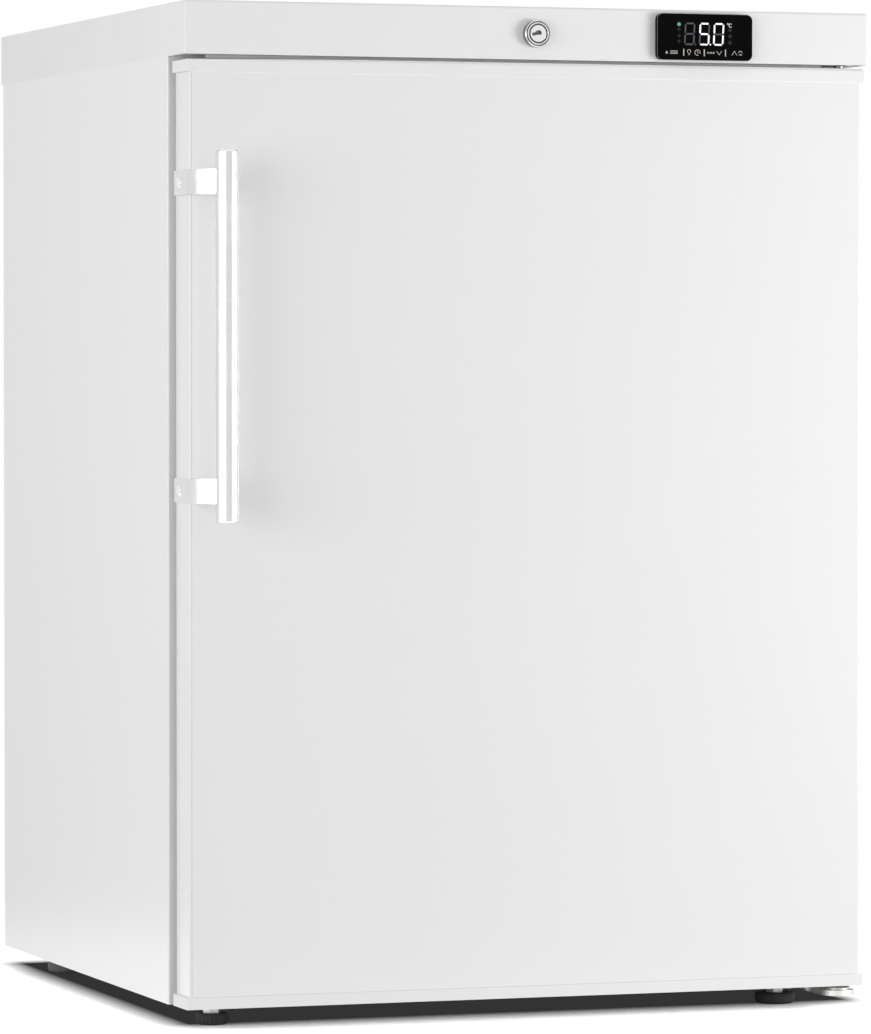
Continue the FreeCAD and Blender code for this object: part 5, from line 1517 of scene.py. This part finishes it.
@dataclass
class LevellingFoot:
    """A moulded pad under a zinc hexagon and a threaded stud."""

    node: str
    finish: Rubber
    ribs: int = 0
    pad_tall: float = 0.0095
    boss_tall: float = 0.005
    across: float = 0.013
    chamfer: float = 0.0004
    core: float = 0.00342
    crest: float = 0.0040
    pitch: float = 0.00125
    stud_chamfer: float = 0.0006
    grip: float = 0.0009
    grip_sunk: float = 0.0003

    def __post_init__(self) -> None:
        """Read the foot's place from the CAD."""
        low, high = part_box(self.node)
        self.x, self.y = (low.x + high.x) / 2, (low.y + high.y) / 2
        self.radius = (high.x - low.x) / 2
        self.top = high.z

    def build_pad(self) -> None:
        """The pad, with grip bars where the real one has them."""
        rubber = PAINTS.of(self.finish)
        tall = self.pad_tall
        rim = self.radius - (self.grip - self.grip_sunk if self.ribs else 0.0)
        # From the hollow sole over the rounded rim to the dished top.
        pad = Solid()
        pad.lathe([
            (0, 0.0008), (rim * 0.55, 0.0008), (rim * 0.6, 0), (rim * 0.88, 0),
            (rim * 0.95, tall * 0.07), (rim * 0.99, tall * 0.18), (rim, tall * 0.3),
            (rim, tall * 0.78), (rim * 0.985, tall * 0.88), (rim * 0.94, tall * 0.97),
            (rim * 0.88, tall), (rim * 0.7, tall), (rim * 0.66, tall * 0.93),
            (0.0066, tall * 0.93), (0, tall * 0.93)], (self.x, self.y, 0), Axis.Z, 64)
        if self.ribs:
            bars = RingOfBars(self.ribs, rim - self.grip_sunk, self.grip, tall * 0.62)
            pad.take(bars.grow(self.node + "_bars", (self.x, self.y, tall * 0.53), rubber))
        add_piece(self.node + "_pad", pad.mesh(self.node + "_pad", rubber), self.node,
                  [self.node])

    def build_stud(self) -> None:
        """The hexagon for the spanner and the stud with its thread."""
        zinc = PAINTS.slot(Slot.ZINC)
        place = (self.x, self.y)
        boss_top = self.pad_tall + self.boss_tall
        stud = Solid()
        slope = self.stud_chamfer
        stud.hexagon(place, self.across, self.pad_tall * 0.93, boss_top, self.chamfer)
        stud.lathe([(0, boss_top - 0.001), (self.core, boss_top - 0.001),
                    (self.core, self.top - slope), (self.core - slope, self.top),
                    (0, self.top)], (*place, 0), Axis.Z, 32)
        thread = Thread(self.core, self.crest, self.pitch, self.top - boss_top - 0.0014)
        stud.take(thread.grow(self.node + "_thread", (*place, boss_top + slope), zinc))
        add_piece(self.node + "_stud", stud.mesh(self.node + "_stud", zinc), self.node)

    def build(self) -> None:
        """Build all of it."""
        self.build_pad()
        self.build_stud()


@dataclass
class Screw:
    """A pan-head screw with its head towards +Z, cross-recessed or smooth.

    The recess is cut slot by slot, because one cut with two crossing slots fails.
    """

    head: float
    tall: float
    shank: float
    radius: float
    cross: bool = True

    def mesh(self, name: str, material: bpy.types.Material) -> bpy.types.Mesh:
        """Make the screw at the origin.

        Args:
            name: the mesh's name.
            material: its material.

        Returns:
            The mesh.
        """
        head, tall = self.head, self.tall
        # From the tip along the shank to the domed head.
        body = Solid()
        body.lathe([
            (0, -self.shank), (self.radius * 0.6, -self.shank),
            (self.radius * 0.9, self.radius - self.shank), (self.radius, 0), (head, 0),
            (head, tall * 0.3), (head * 0.97, tall * 0.55), (head * 0.86, tall * 0.82),
            (head * 0.66, tall * 0.97), (head * 0.4, tall), (0, tall)], (0, 0, 0), Axis.Z, 40)
        made = body.mesh(name, material)
        for turn in (0, 90) if self.cross else ():
            slot = Solid()
            slot.wedge(head * 0.62, head * 0.13, tall * 0.25, tall * 1.2, math.radians(turn))
            made = carved(made, slot.mesh(name + "_slot", material, False))
        return made


@dataclass
class ScrewRow:
    """Recipe for a row of equal screws whose heads all face one way."""

    screw: Screw
    count: int
    start: Point
    step: Point
    way: Point

    def grow(self, name: str, material: bpy.types.Material) -> bpy.types.Mesh:
        """Set the screws.

        Args:
            name: the mesh's name.
            material: their material.

        Returns:
            The mesh.
        """
        model = bpy.data.objects.new(name + "_model", self.screw.mesh(name + "_one", material))
        show(model)
        r = Recipe(name)
        one = r.node("GeometryNodeObjectInfo", None, {"Object": r.size("Screw", "Object")})
        driven = r.node("GeometryNodeInstanceOnPoints", None, {
            "Points": r.row(), "Instance": one.outputs["Geometry"],
            "Rotation": r.size("Turn", "Vector")})
        r.close(driven.outputs["Instances"], material)
        turn = tuple(facing(self.start, self.way).to_euler())
        made = r.grow(name, {"Screw": model, "Turn": turn, "Count": self.count,
                             "Start": self.start, "Step": self.step})
        bpy.data.objects.remove(model)
        return made


@dataclass
class Fasteners:
    """The screws of the handle straps and of both hinge brackets."""

    strap_head: float = 0.0048
    strap_cap: float = 0.0014
    strap_shank: float = 0.012
    hinge_head: float = 0.0048
    hinge_cap: float = 0.0026
    hinge_shank: float = 0.013
    shank_radius: float = 0.0024
    upper_count: int = 3
    upper_first: float = 0.0132
    upper_pitch: float = 0.018
    lower_count: int = 2
    lower_first: float = 0.014
    lower_pitch: float = 0.016
    lower_depth: float = 0.01305

    def build_strap_screws(self) -> None:
        """One screw through each strap."""
        chrome = PAINTS.slot(Slot.CHROME)
        low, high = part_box("handle_screws")
        screw = Screw(self.strap_head, self.strap_cap, self.strap_shank, self.shank_radius,
                      cross=False)
        radius = (high.y - low.y) / 2
        place = (low.x + self.strap_cap, (low.y + high.y) / 2, low.z + radius)
        pair = ScrewRow(screw, 2, place, (0, 0, high.z - radius - place[2]), (-1, 0, 0))
        both = Solid()
        both.take(pair.grow("strap_pair", chrome))
        add_piece("strap_screws", both.mesh("strap_screws", chrome), "door",
                  ["handle_screws"])

    def build_hinge_screws(self) -> None:
        """Three screws on the upper bracket and two under the lower one."""
        zinc = PAINTS.slot(Slot.ZINC)
        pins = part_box("hinge_pins")
        axis_x = (pins[0].x + pins[1].x) / 2
        low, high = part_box("hinge_screws")
        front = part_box("left_side_panel")[0].y
        screw = Screw(self.hinge_head, self.hinge_cap, self.hinge_shank, self.shank_radius)
        lug_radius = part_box("bottom_hinge_bracket")[1].x - axis_x
        upper = ScrewRow(screw, self.upper_count,
                         (axis_x, front + self.upper_first, high.z - self.hinge_cap),
                         (0, self.upper_pitch, 0), (0, 0, 1))
        lower = ScrewRow(screw, self.lower_count,
                         (axis_x - lug_radius - self.lower_first, front + self.lower_depth,
                          low.z + self.hinge_cap), (-self.lower_pitch, 0, 0), (0, 0, -1))
        all_five = Solid()
        all_five.take(upper.grow("upper_screws", zinc))
        all_five.take(lower.grow("lower_screws", zinc))
        add_piece("bracket_screws", all_five.mesh("bracket_screws", zinc), "cabinet",
                  ["hinge_screws"])

    def build(self) -> None:
        """Build all of it."""
        self.build_strap_screws()
        self.build_hinge_screws()


@dataclass
class TopGap:
    """The rib along the door's top edge and the drip lip under the fascia behind it."""

    rib: Spot = (0.0018, 0.0048)
    rib_tall: float = 0.0019
    lip: Spot = (0.0148, 0.0166)
    lip_tall: float = 0.0028
    lip_left: float = 0.020
    low_share: float = 0.3
    rise: float = 0.15
    inset: float = 0.0015
    edge: float = 0.0005
    edge_share: float = 0.3

    def strip(self, ends: list[Spot], span: Spot, foot: float, tip: float) -> Solid:
        """A strip along X with a rounded free edge.

        Args:
            ends: X of each section from left to right, and the share of its full height.
            span: Y of its front and back.
            foot: Z of the edge that is carried.
            tip: Z of the free edge.

        Returns:
            The strip.
        """
        near, far = span
        edge = self.edge
        back_off = edge if tip > foot else -edge
        part, part_off = edge * self.edge_share, back_off * self.edge_share
        section = [(near, foot), (far, foot), (far, tip - back_off),
                   (far - part, tip - part_off), (far - edge, tip), (near + edge, tip),
                   (near + part, tip - part_off), (near, tip - back_off)]
        made = Solid()
        made.shell([[(x, y, foot + (z - foot) * share) for y, z in section]
                    for x, share in ends])
        return made

    def build(self) -> None:
        """Build both strips."""
        white = PAINTS.slot(Slot.WHITE_MOULDING)
        low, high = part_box("door_top_cap")
        left, right = low.x + self.inset, high.x - self.inset
        rib = self.strip([(left, self.low_share), (left + self.rise, 1.0), (right, 1.0)],
                         (low.y + self.rib[0], low.y + self.rib[1]), high.z,
                         high.z + self.rib_tall)
        add_piece("door_top_rib", rib.mesh("top_rib", white), "door")
        base_low, base_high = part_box("fascia_base")
        lip = self.strip([(base_low.x + self.lip_left, 1.0), (base_high.x - self.inset, 1.0)],
                         (low.y + self.lip[0], low.y + self.lip[1]), base_low.z,
                         base_low.z - self.lip_tall)
        add_piece("fascia_drip_lip", lip.mesh("drip_lip", white), "cabinet")


@dataclass
class CapSeams:
    """The fine lines on the door's front, as painted light: a painted highlight where its skin
    meets the top cap, and painted shade where it meets the bottom cap and along its fold.
    """

    wide: float = 0.0005
    proud: float = 0.00003
    sunk: float = 0.0007
    inset: float = 0.003
    fold: float = 0.0013

    def draw(self, name: str, start: Spot, end: Spot, finish: Moulding) -> None:
        """Draw one line on the door's front.

        Args:
            name: the piece's name.
            start: X and Z of its lower left corner.
            end: X and Z of its upper right corner.
            finish: its finish.
        """
        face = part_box("door_skin")[0].y
        line = Solid()
        line.block((start[0], face - self.proud, start[1]), (end[0], face + self.sunk, end[1]))
        add_piece(name, line.mesh(name, PAINTS.of(finish), False), "door")

    def build(self) -> None:
        """Draw the upper seam as a painted highlight, and the lower seam and the fold at the free
        edge as painted shade.
        """
        low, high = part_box("door_skin")
        left, right = low.x + self.inset, high.x - self.inset
        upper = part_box("door_top_cap")[0].z - self.wide
        half = self.wide / 2
        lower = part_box("door_bottom_cap")[1].z + half
        fold = low.x + self.fold
        self.draw("door_upper_seam", (left, upper - half), (right, upper + half), SEAM_PAINTED_HIGHLIGHT)
        self.draw("door_lower_seam", (left, lower - half), (right, lower + half), SEAM_PAINTED_SHADE)
        self.draw("door_edge_fold", (fold, lower + half), (fold + self.wide, upper - half),
                  SEAM_PAINTED_SHADE)


@dataclass
class DoorSeal:
    """Magnetic seal: a folded bellows round the door with a flat magnet pocket."""

    def build(self) -> None:
        """Sweep the section round the door with mitred corners."""
        low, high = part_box("door_gasket")
        deep = high.y - low.y
        # Each point: millimetres in from the seal's outer edge, and share of its depth.
        section = [
            (2.5, 0.0), (17.5, 0.0), (18.4, 0.08), (18.0, 0.17), (15.2, 0.22), (14.6, 0.30),
            (15.2, 0.38), (17.4, 0.42), (18.2, 0.50), (17.4, 0.58), (16.6, 0.62), (17.0, 0.68),
            (17.3, 0.80), (17.0, 0.93), (16.2, 1.0), (3.8, 1.0), (3.0, 0.93), (2.7, 0.80),
            (3.0, 0.68), (3.4, 0.62), (2.4, 0.58), (1.7, 0.50), (2.6, 0.42), (4.8, 0.38),
            (5.4, 0.30), (4.8, 0.22), (2.0, 0.17), (1.6, 0.08)]
        rings = []
        for inset, share in section:
            left, right = low.x + inset * MM, high.x - inset * MM
            floor, roof = low.z + inset * MM, high.z - inset * MM
            y = low.y + deep * share
            rings.append([(x, y, z) for x, z in (
                (left, floor), (right, floor), (right, roof), (left, roof))])
        seal = Solid()
        seal.shell(rings, endless=True)
        add_piece("door_bellows_seal", seal.mesh("bellows", PAINTS.slot(Slot.SEAL), sharp=50.0),
                  "door", ["door_gasket"])


@dataclass
class Coil:
    """A finned coil: thin plates on tubes that turn back at both ends.

    The field along is 0 for tubes that run along X, and 1 for tubes along Y.
    """

    node: str
    along: int
    rows: int
    pitch: float
    tube: float = 0.0036
    reach: float = 0.008
    bend_room: float = 0.004
    bend_spans: int = 8
    fin: float = 0.00035
    bracket: float = 0.0
    bracket_half: float = 0.004
    bracket_lap: float = 0.3
    bracket_spread: float = 1 / 3
    bracket_band: Spot = (0.7, 0.9)

    def __post_init__(self) -> None:
        """Read the coil's place from the CAD."""
        self.low, self.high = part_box(self.node)

    def at(self, along: float, across: float, z: float) -> Point:
        """A point from its distances along and across the tubes."""
        return (along, across, z) if self.along == 0 else (across, along, z)

    def serpentine(self, across: float) -> list[Point]:
        """The middle line of one column's tube.

        Args:
            across: its place across the coil.

        Returns:
            The points.
        """
        start = self.low[self.along] + self.reach
        end = self.high[self.along] - self.reach
        step = (self.high.z - self.low.z) / self.rows
        points: list[Point] = []
        for row in range(self.rows):
            z = self.low.z + step * (row + 0.5)
            ends = (start, end) if row % 2 == 0 else (end, start)
            points += [self.at(ends[0], across, z), self.at(ends[1], across, z)]
            if row == self.rows - 1:
                continue
            sign = 1 if ends[1] > ends[0] else -1
            swing = self.reach - self.bend_room
            for i in range(1, self.bend_spans):
                angle = math.pi * i / self.bend_spans
                points.append(self.at(ends[1] + sign * swing * math.sin(angle), across,
                                      z + step * (1 - math.cos(angle)) / 2))
        return points

    def build(self) -> None:
        """Build the plates, the tubes and the brackets."""
        metal = PAINTS.slot(Slot.COIL)
        other = 1 - self.along
        edge = self.high[other] - self.bracket
        middle = (self.low[other] + edge) / 2
        deep = edge - self.low[other]
        tall = self.high.z - self.low.z
        start = self.low[self.along] + self.reach + self.fin
        long = self.high[self.along] - self.reach - self.fin - start
        count = round(long / self.pitch) + 1
        size = [0.0, 0.0, tall]
        size[self.along], size[other] = self.fin, deep
        stack = FinStack(count, self.at(start, middle, self.low.z + tall / 2),
                         self.at(long / (count - 1), 0, 0), tuple(size))
        block = Solid()
        block.take(stack.grow(self.node + "_fins", metal))
        normal = Vector(self.at(0, 1, 0))
        for side in (-1, 1):
            block.pipe(self.serpentine(middle + side * deep / 4), self.tube, normal)
            if self.bracket:
                x = side * long * self.bracket_spread
                foot, head = (self.low.z + tall * share for share in self.bracket_band)
                block.block((x - self.bracket_half, edge - deep * self.bracket_lap, foot),
                            (x + self.bracket_half, self.high[other], head))
        add_piece(self.node + "_finned", block.mesh(self.node + "_finned", metal), "cabinet",
                  [self.node])


@dataclass
class LightBar:
    """The row of light sources behind the opal lens."""

    count: int = 14
    margin: float = 0.012
    dot: float = 0.0044
    thick: float = 0.0001
    drop: float = 0.00003

    def build(self) -> None:
        """Lay the dots along the underside of the lens."""
        low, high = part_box("interior_light")
        spot = PAINTS.of(LIGHT_SOURCE)
        start = low.x + self.margin
        step = (high.x - self.margin - start) / (self.count - 1)
        row = FinStack(self.count, (start, (low.y + high.y) / 2, low.z - self.drop),
                       (step, 0, 0), (self.dot, self.dot, self.thick))
        dots = Solid()
        dots.take(row.grow("light_row", spot))
        add_piece("light_sources", dots.mesh("light_sources", spot, False), "cabinet")


@dataclass(frozen=True)
class Lamp:
    """A soft rectangular lamp, its size in metres and its power in watts."""

    name: str
    place: Point
    target: Point
    size: Spot
    power: float

    def hang(self) -> None:
        """Put the lamp in the scene."""
        data = bpy.data.lights.new(self.name, "AREA")
        data.shape = "RECTANGLE"
        data.size, data.size_y = self.size
        data.energy = self.power
        lamp = bpy.data.objects.new(self.name, data)
        lamp.matrix_world = facing(self.place, Vector(self.target) - Vector(self.place), "-Z")
        show(lamp)


@dataclass
class Studio:
    """Pale floor with a painted shadow under the object, white surroundings, soft lamps and the
    camera.
    """

    lamps: tuple[Lamp, ...] = (
        Lamp("lamp_right", (1.9, -1.7, 0.46), (0.1, 0, 0.4), (1.2, 0.9), 34),
        Lamp("lamp_left", (-2.8, -1.25, 0.75), (0, 0, 0.4), (3.0, 1.4), 43),
        Lamp("lamp_above", (0.2, -0.6, 3.2), (0, 0, 0.4), (2.2, 2.2), 6),
    )
    lens: float = 205.5
    yaw: float = 19.06
    pitch: float = 1.477
    eye: Point = (-1.6691, -4.86155, 0.5457)
    world: float = 0.50
    lift: float = 0.30
    near: float = 0.62
    far: float = 1.0
    # Soft box of the painted shadow round the footprint, and the strength of its dark glow.
    painted_shadow_left: Spot = (0.270, 0.303)
    painted_shadow_right: Spot = (0.315, 0.346)
    painted_shadow_front: Spot = (0.187, 0.239)
    painted_shadow_back: Spot = (0.335, 0.375)
    painted_shadow_glow: float = 0.033
    bounce: Colour = (0.6, 0.6, 0.6)
    floor_half: float = 12.0

    def shown(self, graph: Graph) -> Wire:
        """1 for rays that show the surroundings, else 0.

        Args:
            graph: the tree to build it in.

        Returns:
            The mask.
        """
        path = graph.node("ShaderNodeLightPath")
        rays = [Wire(graph, path.outputs[name])
                for name in ("Is Camera Ray", "Is Glossy Ray", "Is Transmission Ray")]
        return graph.maths("MINIMUM", rays[0] + rays[1] + rays[2], 1.0)

    def build_floor(self) -> None:
        """Floor with a painted shadow, a dark glow under the object; it keeps the object's real
        shadow too and fades to white.

        Near the object two white surfaces are added up and lifted by a faint glow, so that
        open floor shows white and only a shadow shows grey. Rays that light the object see a
        plain grey floor.
        """
        s = Shader("studio_floor")
        split = s.node("ShaderNodeSeparateXYZ", None, {0: s.place})
        x, y = Wire(s, split.outputs[0]), Wire(s, split.outputs[1])
        distance = s.maths("SQRT", x * x + y * y)
        fade = distance.spread(self.near, self.far)
        white = s.node("ShaderNodeEmission", None, {"Color": (1, 1, 1), "Strength": 1.0})
        first = s.node("ShaderNodeBsdfDiffuse", None, {"Color": (1, 1, 1)})
        second = s.node("ShaderNodeBsdfDiffuse", None, {"Color": (1, 1, 1)})
        both = s.node("ShaderNodeAddShader", None, {0: first.outputs[0], 1: second.outputs[0]})
        glow = s.node("ShaderNodeEmission", None, {"Color": (1, 1, 1), "Strength": self.lift})
        both = s.node("ShaderNodeAddShader", None, {0: both.outputs[0], 1: glow.outputs[0]})
        open_floor = s.node("ShaderNodeMixShader", None, {
            0: fade, 1: both.outputs[0], 2: white.outputs[0]})
        # Painted shadow: the floor turns to a dark glow in a soft box round the object's footprint,
        # whatever the lamps do.
        painted_shadow_mask: Wire | float = 1.0
        for reach, span in ((0.0 - x, self.painted_shadow_left), (x, self.painted_shadow_right),
                            (0.0 - y, self.painted_shadow_front), (y, self.painted_shadow_back)):
            painted_shadow_mask = (1.0 - reach.spread(*span)) * painted_shadow_mask
        painted_shade = s.node("ShaderNodeEmission", None, {
            "Color": (1, 1, 1), "Strength": self.painted_shadow_glow})
        mixed = s.node("ShaderNodeMixShader", None, {
            0: painted_shadow_mask, 1: open_floor.outputs[0], 2: painted_shade.outputs[0]})
        plain = s.node("ShaderNodeBsdfDiffuse", None, {"Color": self.bounce})
        shown = s.node("ShaderNodeMixShader", None, {
            0: self.shown(s), 1: plain.outputs[0], 2: mixed.outputs[0]})
        s.node("ShaderNodeOutputMaterial", None, {"Surface": shown.outputs[0]})
        mesh = bpy.data.meshes.new("floor")
        size = self.floor_half
        mesh.from_pydata([(-size, -size, 0), (size, -size, 0), (size, size, 0),
                          (-size, size, 0)], [], [(0, 1, 2, 3)])
        mesh.materials.append(s.material)
        floor = bpy.data.objects.new("floor", mesh)
        show(floor)

    def build_world(self) -> None:
        """Plain grey dome that shows white behind the object."""
        world = bpy.data.worlds.new("studio")
        world.use_nodes = True
        graph = Graph(world.node_tree)
        graph.tree.nodes.clear()
        dome = graph.node("ShaderNodeBackground", None, {
            "Color": (1, 1, 1), "Strength": self.world})
        white = graph.node("ShaderNodeBackground", None, {"Color": (1, 1, 1), "Strength": 1.0})
        both = graph.node("ShaderNodeMixShader", None, {
            0: self.shown(graph), 1: dome.outputs[0], 2: white.outputs[0]})
        graph.node("ShaderNodeOutputWorld", None, {"Surface": both.outputs[0]})
        bpy.context.scene.world = world

    def build_camera(self) -> None:
        """The camera at the photograph's angle."""
        data = bpy.data.cameras.new("camera")
        data.lens = self.lens
        data.sensor_width = 36.0
        data.sensor_fit = "AUTO"
        data.clip_end = 100.0
        camera = bpy.data.objects.new("camera", data)
        yaw, pitch = math.radians(self.yaw), math.radians(self.pitch)
        way = Vector((math.sin(yaw) * math.cos(pitch), math.cos(yaw) * math.cos(pitch),
                      -math.sin(pitch)))
        camera.matrix_world = facing(self.eye, way, "-Z")
        show(camera)
        bpy.context.scene.camera = camera

    def build(self) -> None:
        """Build all of it."""
        bpy.context.scene.view_settings.view_transform = "Standard"
        self.build_camera()
        self.build_floor()
        self.build_world()
        for lamp in self.lamps:
            lamp.hang()


def main() -> None:
    """Build the scene in order."""
    logging.basicConfig(level=logging.INFO, format="%(message)s")
    black = FINISHES[Slot.BLACK_RUBBER]
    feet = [LevellingFoot("front_left_foot", black, ribs=26),
            LevellingFoot("front_right_foot", black),
            LevellingFoot("rear_left_foot", GREY_RUBBER),
            LevellingFoot("rear_right_foot", black)]
    coils = [Coil("condenser", along=1, rows=4, pitch=0.0028),
             Coil("evaporator", along=0, rows=3, pitch=0.0042, bracket=0.004)]
    for part in (Studio(), Casework(), Controller(), Lock(), *feet, Fasteners(), TopGap(),
                 CapSeams(), DoorSeal(), *coils, LightBar()):
        part.build()


if __name__ == "__main__":
    main()
